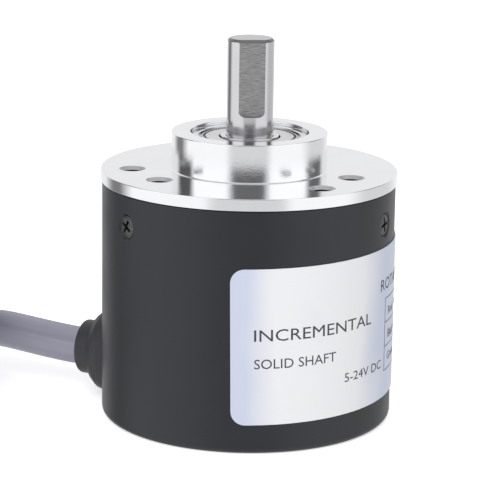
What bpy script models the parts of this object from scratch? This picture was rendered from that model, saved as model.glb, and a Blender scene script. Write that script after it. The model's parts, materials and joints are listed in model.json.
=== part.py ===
"""Incremental rotary encoder, 38 mm class, solid shaft, with a side cable.

A turned aluminium housing carries two ball bearings and the shaft; a black cup covers the optical
disc and the circuit board below it. Metres, +Z up along the shaft. The origin is the centre of the
cover's flat base. An azimuth is in degrees, seen from above: 0 is -Y and 90 is +X.
"""

import math

import bmesh
import bpy
from mathutils import Matrix, Vector

MM = 0.001

# Driving dimensions
FLANGE_RADIUS = 19.0 * MM
FLANGE_TOP = 32.4 * MM  # height of the mounting face over the base
FLANGE_RIM = 1.5 * MM
BOSS_RADIUS = 10.0 * MM
BOSS_HEIGHT = 4.8 * MM
SHAFT_RADIUS = 3.0 * MM
SHAFT_OUT = 16.8 * MM  # shaft end over the mounting face
COVER_RADIUS = 18.85 * MM
COVER_WALL = 1.2 * MM
CABLE_RADIUS = 2.5 * MM
CABLE_LENGTH = 1500.0 * MM

# Fits and gaps
FIT = 0.05 * MM  # radial clearance of turned fits
GAP = 0.3 * MM  # clearance between pieces that touch

# Bearings, 6 x 15 x 5
BEARING_OUTER = 7.5 * MM
BEARING_INNER = SHAFT_RADIUS + FIT
BEARING_WIDTH = 5.0 * MM
BALL_RADIUS = 1.4 * MM
BALL_PITCH = 5.25 * MM
BALL_COUNT = 7
INNER_SHOULDER = 4.0 * MM
OUTER_SHOULDER = 6.5 * MM
SHIELD_RECESS = 0.5 * MM  # how deep the rings are stepped back for the shield
RACE_RADIUS = BALL_RADIUS + 2 * FIT

# Heights
FRONT_BEARING = FLANGE_TOP + BOSS_HEIGHT - 0.5 * MM - BEARING_WIDTH  # its lower face
REAR_BEARING = 19.75 * MM
SPIGOT_BOTTOM = 23.5 * MM
TUBE_BOTTOM = 19.6 * MM
SHAFT_TOP = FLANGE_TOP + SHAFT_OUT
SHAFT_BOTTOM = 12.6 * MM
CIRCLIP_HEIGHT = 18.95 * MM
HUB_TOP = 18.4 * MM
DISC_BOTTOM = 14.35 * MM
DISC_THICKNESS = 0.25 * MM
BOARD_BOTTOM = 10.6 * MM
BOARD_THICKNESS = 1.2 * MM
BOARD_TOP = BOARD_BOTTOM + BOARD_THICKNESS
COVER_FLOOR = 1.5 * MM
SCREW_HEIGHT = 26.9 * MM
CABLE_HEIGHT = 5.9 * MM

# Azimuths, degrees
COVER_SCREWS_AT = -53.7
INNER_HOLES_AT = -52.7
OUTER_HOLES_AT = -82.7
CABLE_AT = -110.0
FLAT_AT = 5.3
LED_AT = 97.0

# Radii of rows of features
INNER_HOLES = 14.0 * MM
OUTER_HOLES = 15.0 * MM
BOARD_RADIUS = 16.9 * MM
STANDOFFS = 14.6 * MM
SPIGOT_RADIUS = COVER_RADIUS - COVER_WALL - 2 * FIT
DISC_RADIUS = 12.5 * MM
TRACK_RADIUS = 11.3 * MM
LED_SCREW_RADIUS = 15.9 * MM

# The stored length of the cable: a hank of seven turns in two columns, four high
LANE_OUTER = 20.0 * MM
LANE_INNER = 15.0 * MM
HANK_LAYERS = 4
HANK_BOTTOM = 0.8 * MM
HANK_RIGHT = -34.5 * MM
TIE_THICKNESS = 0.4 * MM
TIE_WIDTH = 8.0 * MM
HANK_ENTRY = 16.6 * MM  # from the lead's end to the first lane
END_PAST_MIDDLE = 8.0 * MM

# Facets round a turned piece
BIG_STEPS = 48
RACE_STEPS = 32
SMALL_STEPS = 24
SCREW_STEPS = 16
HOLE_STEPS = 12
THREE = (0, 120, 240)

# Colour, roughness, metallic
FINISHES = {
    "aluminium": ((0.80, 0.81, 0.83), 0.16, 1.0),
    "ground_steel": ((0.62, 0.62, 0.63), 0.22, 1.0),
    "bearing_steel": ((0.70, 0.71, 0.73), 0.18, 1.0),
    "black_steel": ((0.035, 0.036, 0.040), 0.40, 0.6),
    "brass": ((0.72, 0.55, 0.25), 0.30, 1.0),
    "black_plastic": ((0.040, 0.042, 0.047), 0.45, 0.0),
    "black_rubber": ((0.030, 0.031, 0.034), 0.60, 0.0),
    "grey_jacket": ((0.24, 0.23, 0.27), 0.45, 0.0),
    "label_film": ((0.80, 0.83, 0.92), 0.35, 0.0),
    "board_green": ((0.02, 0.18, 0.07), 0.40, 0.0),
    "chip_black": ((0.02, 0.02, 0.02), 0.50, 0.0),
    "clear_glass": ((0.75, 0.80, 0.80), 0.05, 0.0),
    "nylon_white": ((0.80, 0.80, 0.76), 0.50, 0.0),
    "wire_red": ((0.55, 0.03, 0.03), 0.45, 0.0),
    "wire_black": ((0.02, 0.02, 0.02), 0.45, 0.0),
    "wire_green": ((0.03, 0.30, 0.08), 0.45, 0.0),
    "wire_white": ((0.80, 0.80, 0.80), 0.45, 0.0),
    "wire_yellow": ((0.75, 0.55, 0.03), 0.45, 0.0),
}
WIRES = ("red", "black", "green", "white", "yellow")


# Scene, placing and finishing


def clear_scene():
    for obj in list(bpy.data.objects):
        bpy.data.objects.remove(obj, do_unlink=True)


def make_collection(name):
    collection = bpy.data.collections.new(name)
    bpy.context.scene.collection.children.link(collection)
    return collection


def finish(name):
    """The material of a finish, made once."""
    material = bpy.data.materials.get(name)
    if material is None:
        colour, roughness, metallic = FINISHES[name]
        material = bpy.data.materials.new(name)
        material.use_nodes = True
        shader = material.node_tree.nodes["Principled BSDF"]
        shader.inputs["Base Color"].default_value = (*colour, 1.0)
        shader.inputs["Roughness"].default_value = roughness
        shader.inputs["Metallic"].default_value = metallic
    return material


def outward(azimuth):
    """The level unit vector that points away from the shaft at an azimuth."""
    angle = math.radians(azimuth)
    return Vector((math.sin(angle), -math.cos(angle), 0.0))


def sideways(azimuth):
    """The level unit vector a quarter turn on from outward."""
    return outward(azimuth + 90)


def facing(obj, azimuth, distance, height):
    """Places an object modelled along +Z so that its axis points outward at an azimuth."""
    obj.rotation_mode = "QUATERNION"
    obj.rotation_quaternion = outward(azimuth).to_track_quat("Z", "Y")
    obj.location = outward(azimuth) * distance + Vector((0, 0, height))
    return obj


def turned_to(obj, azimuth, distance, height):
    """Places an upright object at an azimuth, with its local +X sideways and +Y inward."""
    obj.rotation_euler = (0, 0, math.radians(azimuth))
    obj.location = outward(azimuth) * distance + Vector((0, 0, height))
    return obj


def add(name, data, material, collection="parts"):
    obj = bpy.data.objects.new(name, data)
    if material:
        data.materials.append(finish(material))
    collections[collection].objects.link(obj)
    return obj


def as_cutter(obj):
    obj.hide_render = True
    obj.display_type = "WIRE"
    return obj


def boolean(obj, other, operation):
    modifier = obj.modifiers.new(other.name, "BOOLEAN")
    modifier.operation = operation
    modifier.object = other
    modifier.solver = "EXACT"
    return obj


def cut(obj, cutter):
    return boolean(obj, as_cutter(cutter), "DIFFERENCE")


def join(obj, other):
    return boolean(obj, as_cutter(other), "UNION")


def settle(obj):
    """Applies a mesh object's modifiers and shades its round faces smooth."""
    graph = bpy.context.evaluated_depsgraph_get()
    mesh = bpy.data.meshes.new_from_object(obj.evaluated_get(graph))
    obj.modifiers.clear()
    obj.data = mesh
    mesh.shade_smooth()
    mesh.set_sharp_from_angle(angle=math.radians(32))


# Shapes


def arc(radius, height, size, start, end, points):
    """Points of a profile on a circle around (radius, height), angles in degrees from +X."""
    angles = [math.radians(start + (end - start) * i / (points - 1)) for i in range(points)]
    return [(radius + size * math.cos(a), height + size * math.sin(a)) for a in angles]


def turned(name, profile, material, steps=SMALL_STEPS, collection="parts"):
    """Turns a (radius, height) profile around Z: a ring if it stays clear of the axis."""
    mesh = bpy.data.meshes.new(name)
    edges = [(i, i + 1) for i in range(len(profile) - 1)]
    if profile[0][0] > 0:
        edges.append((len(profile) - 1, 0))
    mesh.from_pydata([(r, 0.0, z) for r, z in profile], edges, [])
    obj = add(name, mesh, material, collection)
    screw = obj.modifiers.new("turn", "SCREW")
    screw.axis = "Z"
    screw.angle = math.tau
    screw.steps = steps
    screw.render_steps = steps
    screw.use_merge_vertices = True
    screw.merge_threshold = 0.00001
    return obj


def ring(name, inner, outer, bottom, top, material, steps=SMALL_STEPS, collection="parts"):
    profile = [(inner, top), (outer, top), (outer, bottom), (inner, bottom)]
    return turned(name, profile, material, steps, collection)


def rod(name, radius, bottom, top, material, steps=SMALL_STEPS, collection="parts"):
    profile = [(0, top), (radius, top), (radius, bottom), (0, bottom)]
    return turned(name, profile, material, steps, collection)


def block(name, size, material, centre=(0, 0, 0), bevel=0.0, collection="parts"):
    mesh = bpy.data.meshes.new(name)
    shape = bmesh.new()
    bmesh.ops.create_cube(shape, size=1.0)
    bmesh.ops.scale(shape, vec=size, verts=shape.verts)
    bmesh.ops.translate(shape, vec=centre, verts=shape.verts)
    shape.to_mesh(mesh)
    shape.free()
    obj = add(name, mesh, material, collection)
    if bevel:
        modifier = obj.modifiers.new("edges", "BEVEL")
        modifier.width = bevel
        modifier.segments = 1
    return obj


def blocks(name, size, centres, collection="cutters"):
    """Equal separate boxes in one helper object."""
    mesh = bpy.data.meshes.new(name)
    shape = bmesh.new()
    for centre in centres:
        made = bmesh.ops.create_cube(shape, size=1.0)
        bmesh.ops.scale(shape, vec=size, verts=made["verts"])
        bmesh.ops.translate(shape, vec=centre, verts=made["verts"])
    shape.to_mesh(mesh)
    shape.free()
    return add(name, mesh, None, collection)


def circle_points(radius, count, centre=(0, 0)):
    angles = [math.tau * i / count for i in range(count)]
    return [(centre[0] + radius * math.cos(a), centre[1] + radius * math.sin(a)) for a in angles]


def rounded_outline(width, height, radius, points=5):
    """The corners of a rectangle around the origin as arcs, counter-clockwise."""
    outline = []
    for turn, (sx, sy) in enumerate(((1, 1), (-1, 1), (-1, -1), (1, -1))):
        x = sx * (width / 2 - radius)
        y = sy * (height / 2 - radius)
        outline += arc(x, y, radius, 90 * turn, 90 * turn + 90, points)
    return outline


def plate(name, outlines, bottom, top, material, collection="parts"):
    """A flat plate between two heights; outlines inside the first one are its holes."""
    curve = bpy.data.curves.new(name, "CURVE")
    curve.dimensions = "2D"
    curve.fill_mode = "BOTH"
    curve.extrude = (top - bottom) / 2
    for outline in outlines:
        spline = curve.splines.new("POLY")
        spline.points.add(len(outline) - 1)
        for point, (x, y) in zip(spline.points, outline):
            point.co = (x, y, 0, 1)
        spline.use_cyclic_u = True
    obj = add(name, curve, material, collection)
    obj.location.z = (top + bottom) / 2
    return to_mesh(obj, material, collection)


def to_mesh(obj, material, collection="parts"):
    """Turns a curve object into a welded mesh object of the same name and place."""
    bpy.context.view_layer.update()
    graph = bpy.context.evaluated_depsgraph_get()
    mesh = bpy.data.meshes.new_from_object(obj.evaluated_get(graph))
    shape = bmesh.new()
    shape.from_mesh(mesh)
    bmesh.ops.remove_doubles(shape, verts=shape.verts, dist=0.000001)
    bmesh.ops.recalc_face_normals(shape, faces=shape.faces)
    shape.to_mesh(mesh)
    shape.free()
    name = obj.name
    place = obj.matrix_world.copy()
    bpy.data.objects.remove(obj, do_unlink=True)
    mesh.materials.clear()
    made = add(name, mesh, material, collection)
    made.matrix_world = place
    return made


def tube(name, points, radius, material, resolution=2):
    """A round wire or cable through points, as a curve with filled ends."""
    curve = bpy.data.curves.new(name, "CURVE")
    curve.dimensions = "3D"
    curve.bevel_depth = radius
    curve.bevel_resolution = resolution
    curve.use_fill_caps = True
    spline = curve.splines.new("POLY")
    spline.points.add(len(points) - 1)
    for point, place in zip(spline.points, points):
        point.co = (*place, 1)
    return add(name, curve, material)


def smooth_path(route, spacing):
    """Points about one spacing apart on a smooth curve through the route's points."""
    route = [Vector(point) for point in route]
    ends = [route[0] * 2 - route[1], *route, route[-1] * 2 - route[-2]]
    path = []
    for a, b, c, d in zip(ends, ends[1:], ends[2:], ends[3:]):
        count = max(1, round((c - b).length / spacing))
        for i in range(count):
            t = i / count
            path.append(
                b
                + (c - a) * (t / 2)
                + (a * 2 - b * 5 + c * 4 - d) * (t * t / 2)
                + (b * 3 - a - c * 3 + d) * (t * t * t / 2)
            )
    return [*path, route[-1]]


# The housing, its cover and their screws


def thread_cutter(name, radius, mouth, depth):
    """A blind hole with a chamfered mouth at height 0."""
    above = GAP
    profile = [(0, above), (mouth + above, above), (radius, radius - mouth), (radius, -depth), (0, -depth)]
    return turned(name, profile, None, HOLE_STEPS, "cutters")


def make_housing():
    """Flange, centring boss, spigot and bearing tube, turned from one bar."""
    boss_top = FLANGE_TOP + BOSS_HEIGHT
    rim_bottom = FLANGE_TOP - FLANGE_RIM
    seat = BEARING_OUTER + FIT
    edge = 0.2 * MM
    foot = 0.3 * MM
    profile = [
        (seat + edge, boss_top),
        (BOSS_RADIUS - edge, boss_top),
        (BOSS_RADIUS, boss_top - edge),
        *arc(BOSS_RADIUS + foot, FLANGE_TOP + foot, foot, 180, 270, 3),
        (FLANGE_RADIUS - edge, FLANGE_TOP),
        (FLANGE_RADIUS, FLANGE_TOP - edge),
        (FLANGE_RADIUS, rim_bottom),
        (SPIGOT_RADIUS, rim_bottom),
        (SPIGOT_RADIUS, SPIGOT_BOTTOM),
        (BEARING_OUTER + 2 * MM, SPIGOT_BOTTOM),
        (BEARING_OUTER + 2 * MM, TUBE_BOTTOM),
        (seat, TUBE_BOTTOM),
        (seat, REAR_BEARING + BEARING_WIDTH + 2 * GAP),
        (OUTER_SHOULDER + FIT, REAR_BEARING + BEARING_WIDTH + 2 * GAP),
        (OUTER_SHOULDER + FIT, FRONT_BEARING - FIT),
        (seat, FRONT_BEARING - FIT),
        (seat, boss_top - edge),
    ]
    housing = turned("flange_housing", profile, "aluminium", BIG_STEPS)
    rows = ((INNER_HOLES, INNER_HOLES_AT), (OUTER_HOLES, OUTER_HOLES_AT))
    for row, (distance, start) in enumerate(rows):
        for turn in THREE:
            cutter = thread_cutter(f"mounting_hole_{row}_{turn}", 1.3 * MM, 1.7 * MM, 4.0 * MM)
            turned_to(cutter, start + turn, distance, FLANGE_TOP)
            cut(housing, cutter)
    for turn in THREE:
        side = rod(f"side_hole_{turn}", 1.0 * MM, 0, 5 * MM, None, HOLE_STEPS, "cutters")
        facing(side, COVER_SCREWS_AT + turn, SPIGOT_RADIUS - 4.5 * MM, SCREW_HEIGHT)
        cut(housing, side)
        stud = rod(f"stud_hole_{turn}", 1.05 * MM, -MM, 2.8 * MM, None, HOLE_STEPS, "cutters")
        turned_to(stud, OUTER_HOLES_AT + turn, STANDOFFS, SPIGOT_BOTTOM)
        cut(housing, stud)
    screw_hole = rod("led_screw_hole", 0.8 * MM, -MM, 2.5 * MM, None, HOLE_STEPS, "cutters")
    turned_to(screw_hole, LED_AT, LED_SCREW_RADIUS, SPIGOT_BOTTOM)
    cut(housing, screw_hole)


def make_cover():
    """The black cup, with countersunk screw holes and the cable hole."""
    inside = COVER_RADIUS - COVER_WALL
    top = FLANGE_TOP - FLANGE_RIM - 2 * FIT
    round_edge = 0.9 * MM
    profile = [
        (0, COVER_FLOOR),
        (inside - 0.8 * MM, COVER_FLOOR),
        (inside, COVER_FLOOR + 0.8 * MM),
        (inside, top),
        (COVER_RADIUS - 0.1 * MM, top),
        (COVER_RADIUS, top - 0.1 * MM),
        *arc(COVER_RADIUS - round_edge, round_edge, round_edge, 0, -90, 5),
        (0, 0),
    ]
    cover = turned("rear_cover", profile, "black_plastic", BIG_STEPS)
    for turn in THREE:
        countersink = [(0, 0.4 * MM), (2.1 * MM, 0.4 * MM), (1.15 * MM, -0.55 * MM)]
        clearance = [(1.15 * MM, -3 * MM), (0, -3 * MM)]
        name = f"cover_screw_hole_{turn}"
        hole = turned(name, countersink + clearance, None, SCREW_STEPS, "cutters")
        cut(cover, facing(hole, COVER_SCREWS_AT + turn, COVER_RADIUS, SCREW_HEIGHT))
    cable_hole = rod("cable_hole", 3.95 * MM, -4 * MM, 4 * MM, None, collection="cutters")
    cut(cover, facing(cable_hole, CABLE_AT, COVER_RADIUS, CABLE_HEIGHT))


def cross_recess(name, width, depth):
    """Two crossed slots of a Phillips drive, open at height 0."""
    slot = block(name, (width, width / 4, depth * 2), None, collection="cutters")
    other = block(f"{name}_across", (width / 4, width, depth * 2), None, collection="cutters")
    return join(slot, other), other


def make_cover_screws():
    """Flat-head screws; the head's outer face is 0.15 mm under the cover's skin."""
    for number, turn in enumerate(THREE, 1):
        profile = [
            (0, 0),
            (1.5 * MM, 0),
            (0.95 * MM, -0.55 * MM),
            (0.95 * MM, -5.2 * MM),
            (0.7 * MM, -5.5 * MM),
            (0, -5.5 * MM),
        ]
        screw = turned(f"cover_screw_{number}", profile, "black_steel", SCREW_STEPS)
        recess, across = cross_recess(f"cover_screw_recess_{number}", 1.7 * MM, 0.45 * MM)
        for obj in (screw, recess, across):
            facing(obj, COVER_SCREWS_AT + turn, COVER_RADIUS - 0.15 * MM, SCREW_HEIGHT)
        cut(screw, recess)


# Bearings and what lies between them


def make_outer_ring(name, bottom):
    middle = bottom + BEARING_WIDTH / 2
    top = bottom + BEARING_WIDTH
    groove = RACE_RADIUS * 0.8
    reach = math.sqrt(RACE_RADIUS**2 - groove**2)
    profile = [
        (OUTER_SHOULDER, top),
        (BEARING_OUTER, top),
        (BEARING_OUTER, bottom),
        (OUTER_SHOULDER, bottom),
        (OUTER_SHOULDER, bottom + SHIELD_RECESS),
        (BALL_PITCH + reach, bottom + SHIELD_RECESS),
        *arc(BALL_PITCH, middle, RACE_RADIUS, -53, 53, 4),
        (BALL_PITCH + reach, top - SHIELD_RECESS),
        (OUTER_SHOULDER, top - SHIELD_RECESS),
    ]
    return turned(name, profile, "bearing_steel", RACE_STEPS)


def make_inner_ring(name, bottom):
    middle = bottom + BEARING_WIDTH / 2
    top = bottom + BEARING_WIDTH
    land = INNER_SHOULDER - 0.25 * MM
    profile = [
        (BEARING_INNER, top),
        (land, top),
        (land, top - SHIELD_RECESS),
        (INNER_SHOULDER, top - SHIELD_RECESS),
        *arc(BALL_PITCH, middle, RACE_RADIUS, 146, 214, 4),
        (INNER_SHOULDER, bottom + SHIELD_RECESS),
        (land, bottom + SHIELD_RECESS),
        (land, bottom),
        (BEARING_INNER, bottom),
    ]
    return turned(name, profile, "bearing_steel")


def make_cage(name, bottom):
    """The cage and its seven balls, one body as they turn together."""
    middle = bottom + BEARING_WIDTH / 2
    half = 0.9 * MM
    cage = ring(name, 4.75 * MM, 5.75 * MM, middle - half, middle + half, "brass")
    mesh = bpy.data.meshes.new(f"{name}_balls")
    shape = bmesh.new()
    for number in range(BALL_COUNT):
        place = outward(360 * number / BALL_COUNT) * BALL_PITCH + Vector((0, 0, middle))
        bmesh.ops.create_uvsphere(
            shape, u_segments=10, v_segments=6, radius=BALL_RADIUS, matrix=Matrix.Translation(place)
        )
    shape.to_mesh(mesh)
    shape.free()
    return join(cage, add(f"{name}_balls", mesh, None, "cutters"))


def make_bearings():
    for place, bottom in (("front", FRONT_BEARING), ("rear", REAR_BEARING)):
        make_outer_ring(f"{place}_bearing_outer_ring", bottom)
        make_inner_ring(f"{place}_bearing_inner_ring", bottom)
        make_cage(f"{place}_bearing_cage", bottom)
        height = bottom + BEARING_WIDTH - 0.35 * MM if place == "front" else bottom + 0.15 * MM
        ring(
            f"{place}_bearing_shield",
            INNER_SHOULDER - FIT,
            OUTER_SHOULDER - GAP,
            height,
            height + 0.2 * MM,
            "bearing_steel",
        )
    spacer_bottom = REAR_BEARING + BEARING_WIDTH + FIT
    ring("bearing_spacer", BEARING_INNER, INNER_SHOULDER - GAP, spacer_bottom, FRONT_BEARING - FIT, "ground_steel")


def make_wave_washer():
    """A ring of thin spring steel in three waves, between the shoulder and the rear bearing."""
    bottom = REAR_BEARING + BEARING_WIDTH + GAP - 0.06 * MM
    washer = ring("wave_washer", 6.65 * MM, 7.4 * MM, bottom, bottom + 0.12 * MM, "ground_steel")
    settle(washer)
    for vertex in washer.data.vertices:
        azimuth = math.atan2(vertex.co.y, vertex.co.x)
        vertex.co.z += 0.12 * MM * math.sin(3 * azimuth)


# The turning parts


def make_shaft():
    """Ground steel, with a chamfered flat at the free end and a circlip groove."""
    chamfer = 0.35 * MM
    groove = 0.3 * MM
    profile = [
        (0, SHAFT_TOP),
        (SHAFT_RADIUS - chamfer, SHAFT_TOP),
        (SHAFT_RADIUS, SHAFT_TOP - chamfer),
        (SHAFT_RADIUS, CIRCLIP_HEIGHT + 0.7 * MM),
        (SHAFT_RADIUS - groove, CIRCLIP_HEIGHT + 0.7 * MM),
        (SHAFT_RADIUS - groove, CIRCLIP_HEIGHT - FIT),
        (SHAFT_RADIUS, CIRCLIP_HEIGHT - FIT),
        (SHAFT_RADIUS, SHAFT_BOTTOM + chamfer),
        (SHAFT_RADIUS - chamfer, SHAFT_BOTTOM),
        (0, SHAFT_BOTTOM),
    ]
    shaft = turned("shaft", profile, "ground_steel", RACE_STEPS)
    flat_length = 9.8 * MM
    flat_radius = 2.5 * MM
    thickness = SHAFT_RADIUS - flat_radius + 2 * chamfer
    outline = rounded_outline(3.5 * MM, 2 * flat_length, 0.9 * MM)
    mill = plate("flat_mill", [outline], 0, thickness, None, "cutters")
    cut(shaft, facing(mill, FLAT_AT, flat_radius + thickness / 2, SHAFT_TOP))
    flat_chamfer = 0.4 * MM
    size = 2 * MM
    edge = block("flat_edge_mill", (2 * SHAFT_RADIUS, size, size), None, collection="cutters")
    edge.data.transform(Matrix.Rotation(math.radians(45), 4, "X"))
    reach = size / 2 * math.sqrt(0.5) - flat_chamfer / 2
    return cut(shaft, facing(edge, FLAT_AT, flat_radius + reach, SHAFT_TOP + reach))


def make_circlip():
    """An open ring that sits in the shaft's groove under the rear bearing."""
    inner = SHAFT_RADIUS - 0.2 * MM
    clip = ring("shaft_circlip", inner, 4.3 * MM, CIRCLIP_HEIGHT, CIRCLIP_HEIGHT + 0.6 * MM, "black_steel")
    mouth = block("circlip_mouth", (4.2 * MM, 5 * MM, 2 * MM), None, (0, -4.6 * MM, 0), collection="cutters")
    mouth.location.z = CIRCLIP_HEIGHT
    return cut(clip, mouth)


def make_hub():
    """The disc's hub: a collar on the shaft, a flange over the disc and a spigot through it."""
    bore = SHAFT_RADIUS + FIT
    disc_top = DISC_BOTTOM + DISC_THICKNESS
    profile = [
        (bore, HUB_TOP),
        (4.8 * MM, HUB_TOP),
        (4.8 * MM, disc_top + 1.0 * MM),
        (6.8 * MM, disc_top + 1.0 * MM),
        (6.8 * MM, disc_top + FIT),
        (3.9 * MM, disc_top + FIT),
        (3.9 * MM, DISC_BOTTOM - 0.6 * MM),
        (bore, DISC_BOTTOM - 0.6 * MM),
    ]
    hub = turned("disc_hub", profile, "brass")
    height = (HUB_TOP + disc_top + 1.0 * MM) / 2
    tapped = rod("set_screw_hole", 0.85 * MM, 2 * MM, 6 * MM, None, HOLE_STEPS, "cutters")
    cut(hub, facing(tapped, FLAT_AT + 180, 0, height))
    screw = rod("hub_set_screw", 0.8 * MM, 0, 1.6 * MM, "black_steel", HOLE_STEPS)
    facing(screw, FLAT_AT + 180, SHAFT_RADIUS + FIT, height)
    socket = rod("set_screw_socket", 0.4 * MM, 0.8 * MM, 2.5 * MM, None, 6, "cutters")
    cut(screw, facing(socket, FLAT_AT + 180, SHAFT_RADIUS + FIT, height))


def make_code_disc():
    """Nickel disc with a ring of radial slots and one index slot inside it."""
    slots = 24
    inner, outer = 10.7 * MM, 11.9 * MM
    outlines = [circle_points(DISC_RADIUS, BIG_STEPS), circle_points(4.0 * MM, SMALL_STEPS)]
    for number in range(slots):
        low = math.tau * (number - 0.25) / slots
        high = math.tau * (number + 0.25) / slots
        corners = ((inner, low), (outer, low), (outer, high), (inner, high))
        outlines.append([(r * math.cos(a), r * math.sin(a)) for r, a in corners])
    outlines.append(circle_points(0.5 * MM, 8, (9.8 * MM, 0)))
    plate("code_disc", outlines, DISC_BOTTOM, DISC_BOTTOM + DISC_THICKNESS, "ground_steel")
    clamp_top = DISC_BOTTOM - FIT
    ring("disc_clamp_ring", 3.95 * MM, 6.0 * MM, clamp_top - 0.55 * MM, clamp_top, "brass")


# Optics and electronics


def make_optics():
    """A lamp over the disc's slots, and a slit mask over the sensor under them."""
    holder_bottom = DISC_BOTTOM + DISC_THICKNESS + 0.8 * MM
    holder_top = SPIGOT_BOTTOM - 2 * FIT
    holder = block(
        "led_holder",
        (7 * MM, 4.4 * MM, holder_top - holder_bottom),
        "black_plastic",
        (0, 0, (holder_top + holder_bottom) / 2),
    )
    turned_to(holder, LED_AT, TRACK_RADIUS + 0.7 * MM, 0)
    foot = block(
        "led_holder_foot",
        (7 * MM, 5.5 * MM, 1.2 * MM),
        None,
        (0, 0, holder_top - 0.6 * MM),
        collection="cutters",
    )
    turned_to(foot, LED_AT, LED_SCREW_RADIUS - 1.4 * MM, 0)
    join(holder, foot)
    bore_top = holder_bottom + 4.6 * MM
    bore = rod("led_bore", 1.6 * MM, holder_bottom - MM, bore_top, None, SCREW_STEPS, "cutters")
    cut(holder, turned_to(bore, LED_AT, TRACK_RADIUS, 0))
    way_bottom = holder_top - 3 * MM
    screw_way = rod("led_screw_way", 0.8 * MM, way_bottom, holder_top + MM, None, HOLE_STEPS, "cutters")
    cut(holder, turned_to(screw_way, LED_AT, LED_SCREW_RADIUS, 0))

    dome = arc(0, holder_bottom + 1.5 * MM, 1.5 * MM, 0, -90, 5)
    lamp_top = holder_bottom + 4.3 * MM
    profile = [(0, lamp_top), (1.5 * MM, lamp_top), *dome[:-1], (0, dome[-1][1])]
    lamp = turned("led_emitter", profile, "clear_glass", SCREW_STEPS)
    turned_to(lamp, LED_AT, TRACK_RADIUS, 0)

    head_top = holder_top - 1.2 * MM - FIT
    screw = turned(
        "led_holder_screw",
        [
            (0, head_top + 2.8 * MM),
            (0.7 * MM, head_top + 2.8 * MM),
            (0.7 * MM, head_top),
            (1.2 * MM, head_top),
            (1.2 * MM, head_top - 0.8 * MM),
            (0, head_top - 0.8 * MM),
        ],
        "black_steel",
        SCREW_STEPS,
    )
    turned_to(screw, LED_AT, LED_SCREW_RADIUS, 0)

    mask_outlines = [rounded_outline(4.6 * MM, 3.6 * MM, 0.3 * MM, 3)]
    for step in (-1.5, -0.5, 0.5, 1.5):
        x = step * 0.9 * MM
        half = 0.2 * MM
        tall = 0.7 * MM
        mask_outlines.append([(x - half, -tall), (x + half, -tall), (x + half, tall), (x - half, tall)])
    mask_bottom = BOARD_TOP + 1.55 * MM
    mask = plate("mask_plate", mask_outlines, mask_bottom, mask_bottom + 0.3 * MM, "clear_glass")
    mask.rotation_euler = (0, 0, math.radians(LED_AT))
    mask.location.xy = (outward(LED_AT) * TRACK_RADIUS).xy


def make_chip(name, length, width, height, pins, azimuth, distance, side):
    """A chip with gull-wing legs along two sides; side is 1 on the board's top and -1 below it."""
    face = BOARD_TOP if side > 0 else BOARD_BOTTOM
    lift = face + side * (height / 2 + 0.1 * MM)
    chip = block(name, (length, width, height), "chip_black", bevel=0.15 * MM)
    turned_to(chip, azimuth, distance, lift)
    pitch = length / pins
    centres = []
    for number in range(pins):
        along = (number - (pins - 1) / 2) * pitch
        centres += [(along, sign * (width / 2 + 0.2 * MM), 0) for sign in (-1, 1)]
    legs = blocks(f"{name}_legs", (pitch * 0.4, 0.9 * MM, 0.3 * MM), centres)
    return join(chip, turned_to(legs, azimuth, distance, lift))


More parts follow.
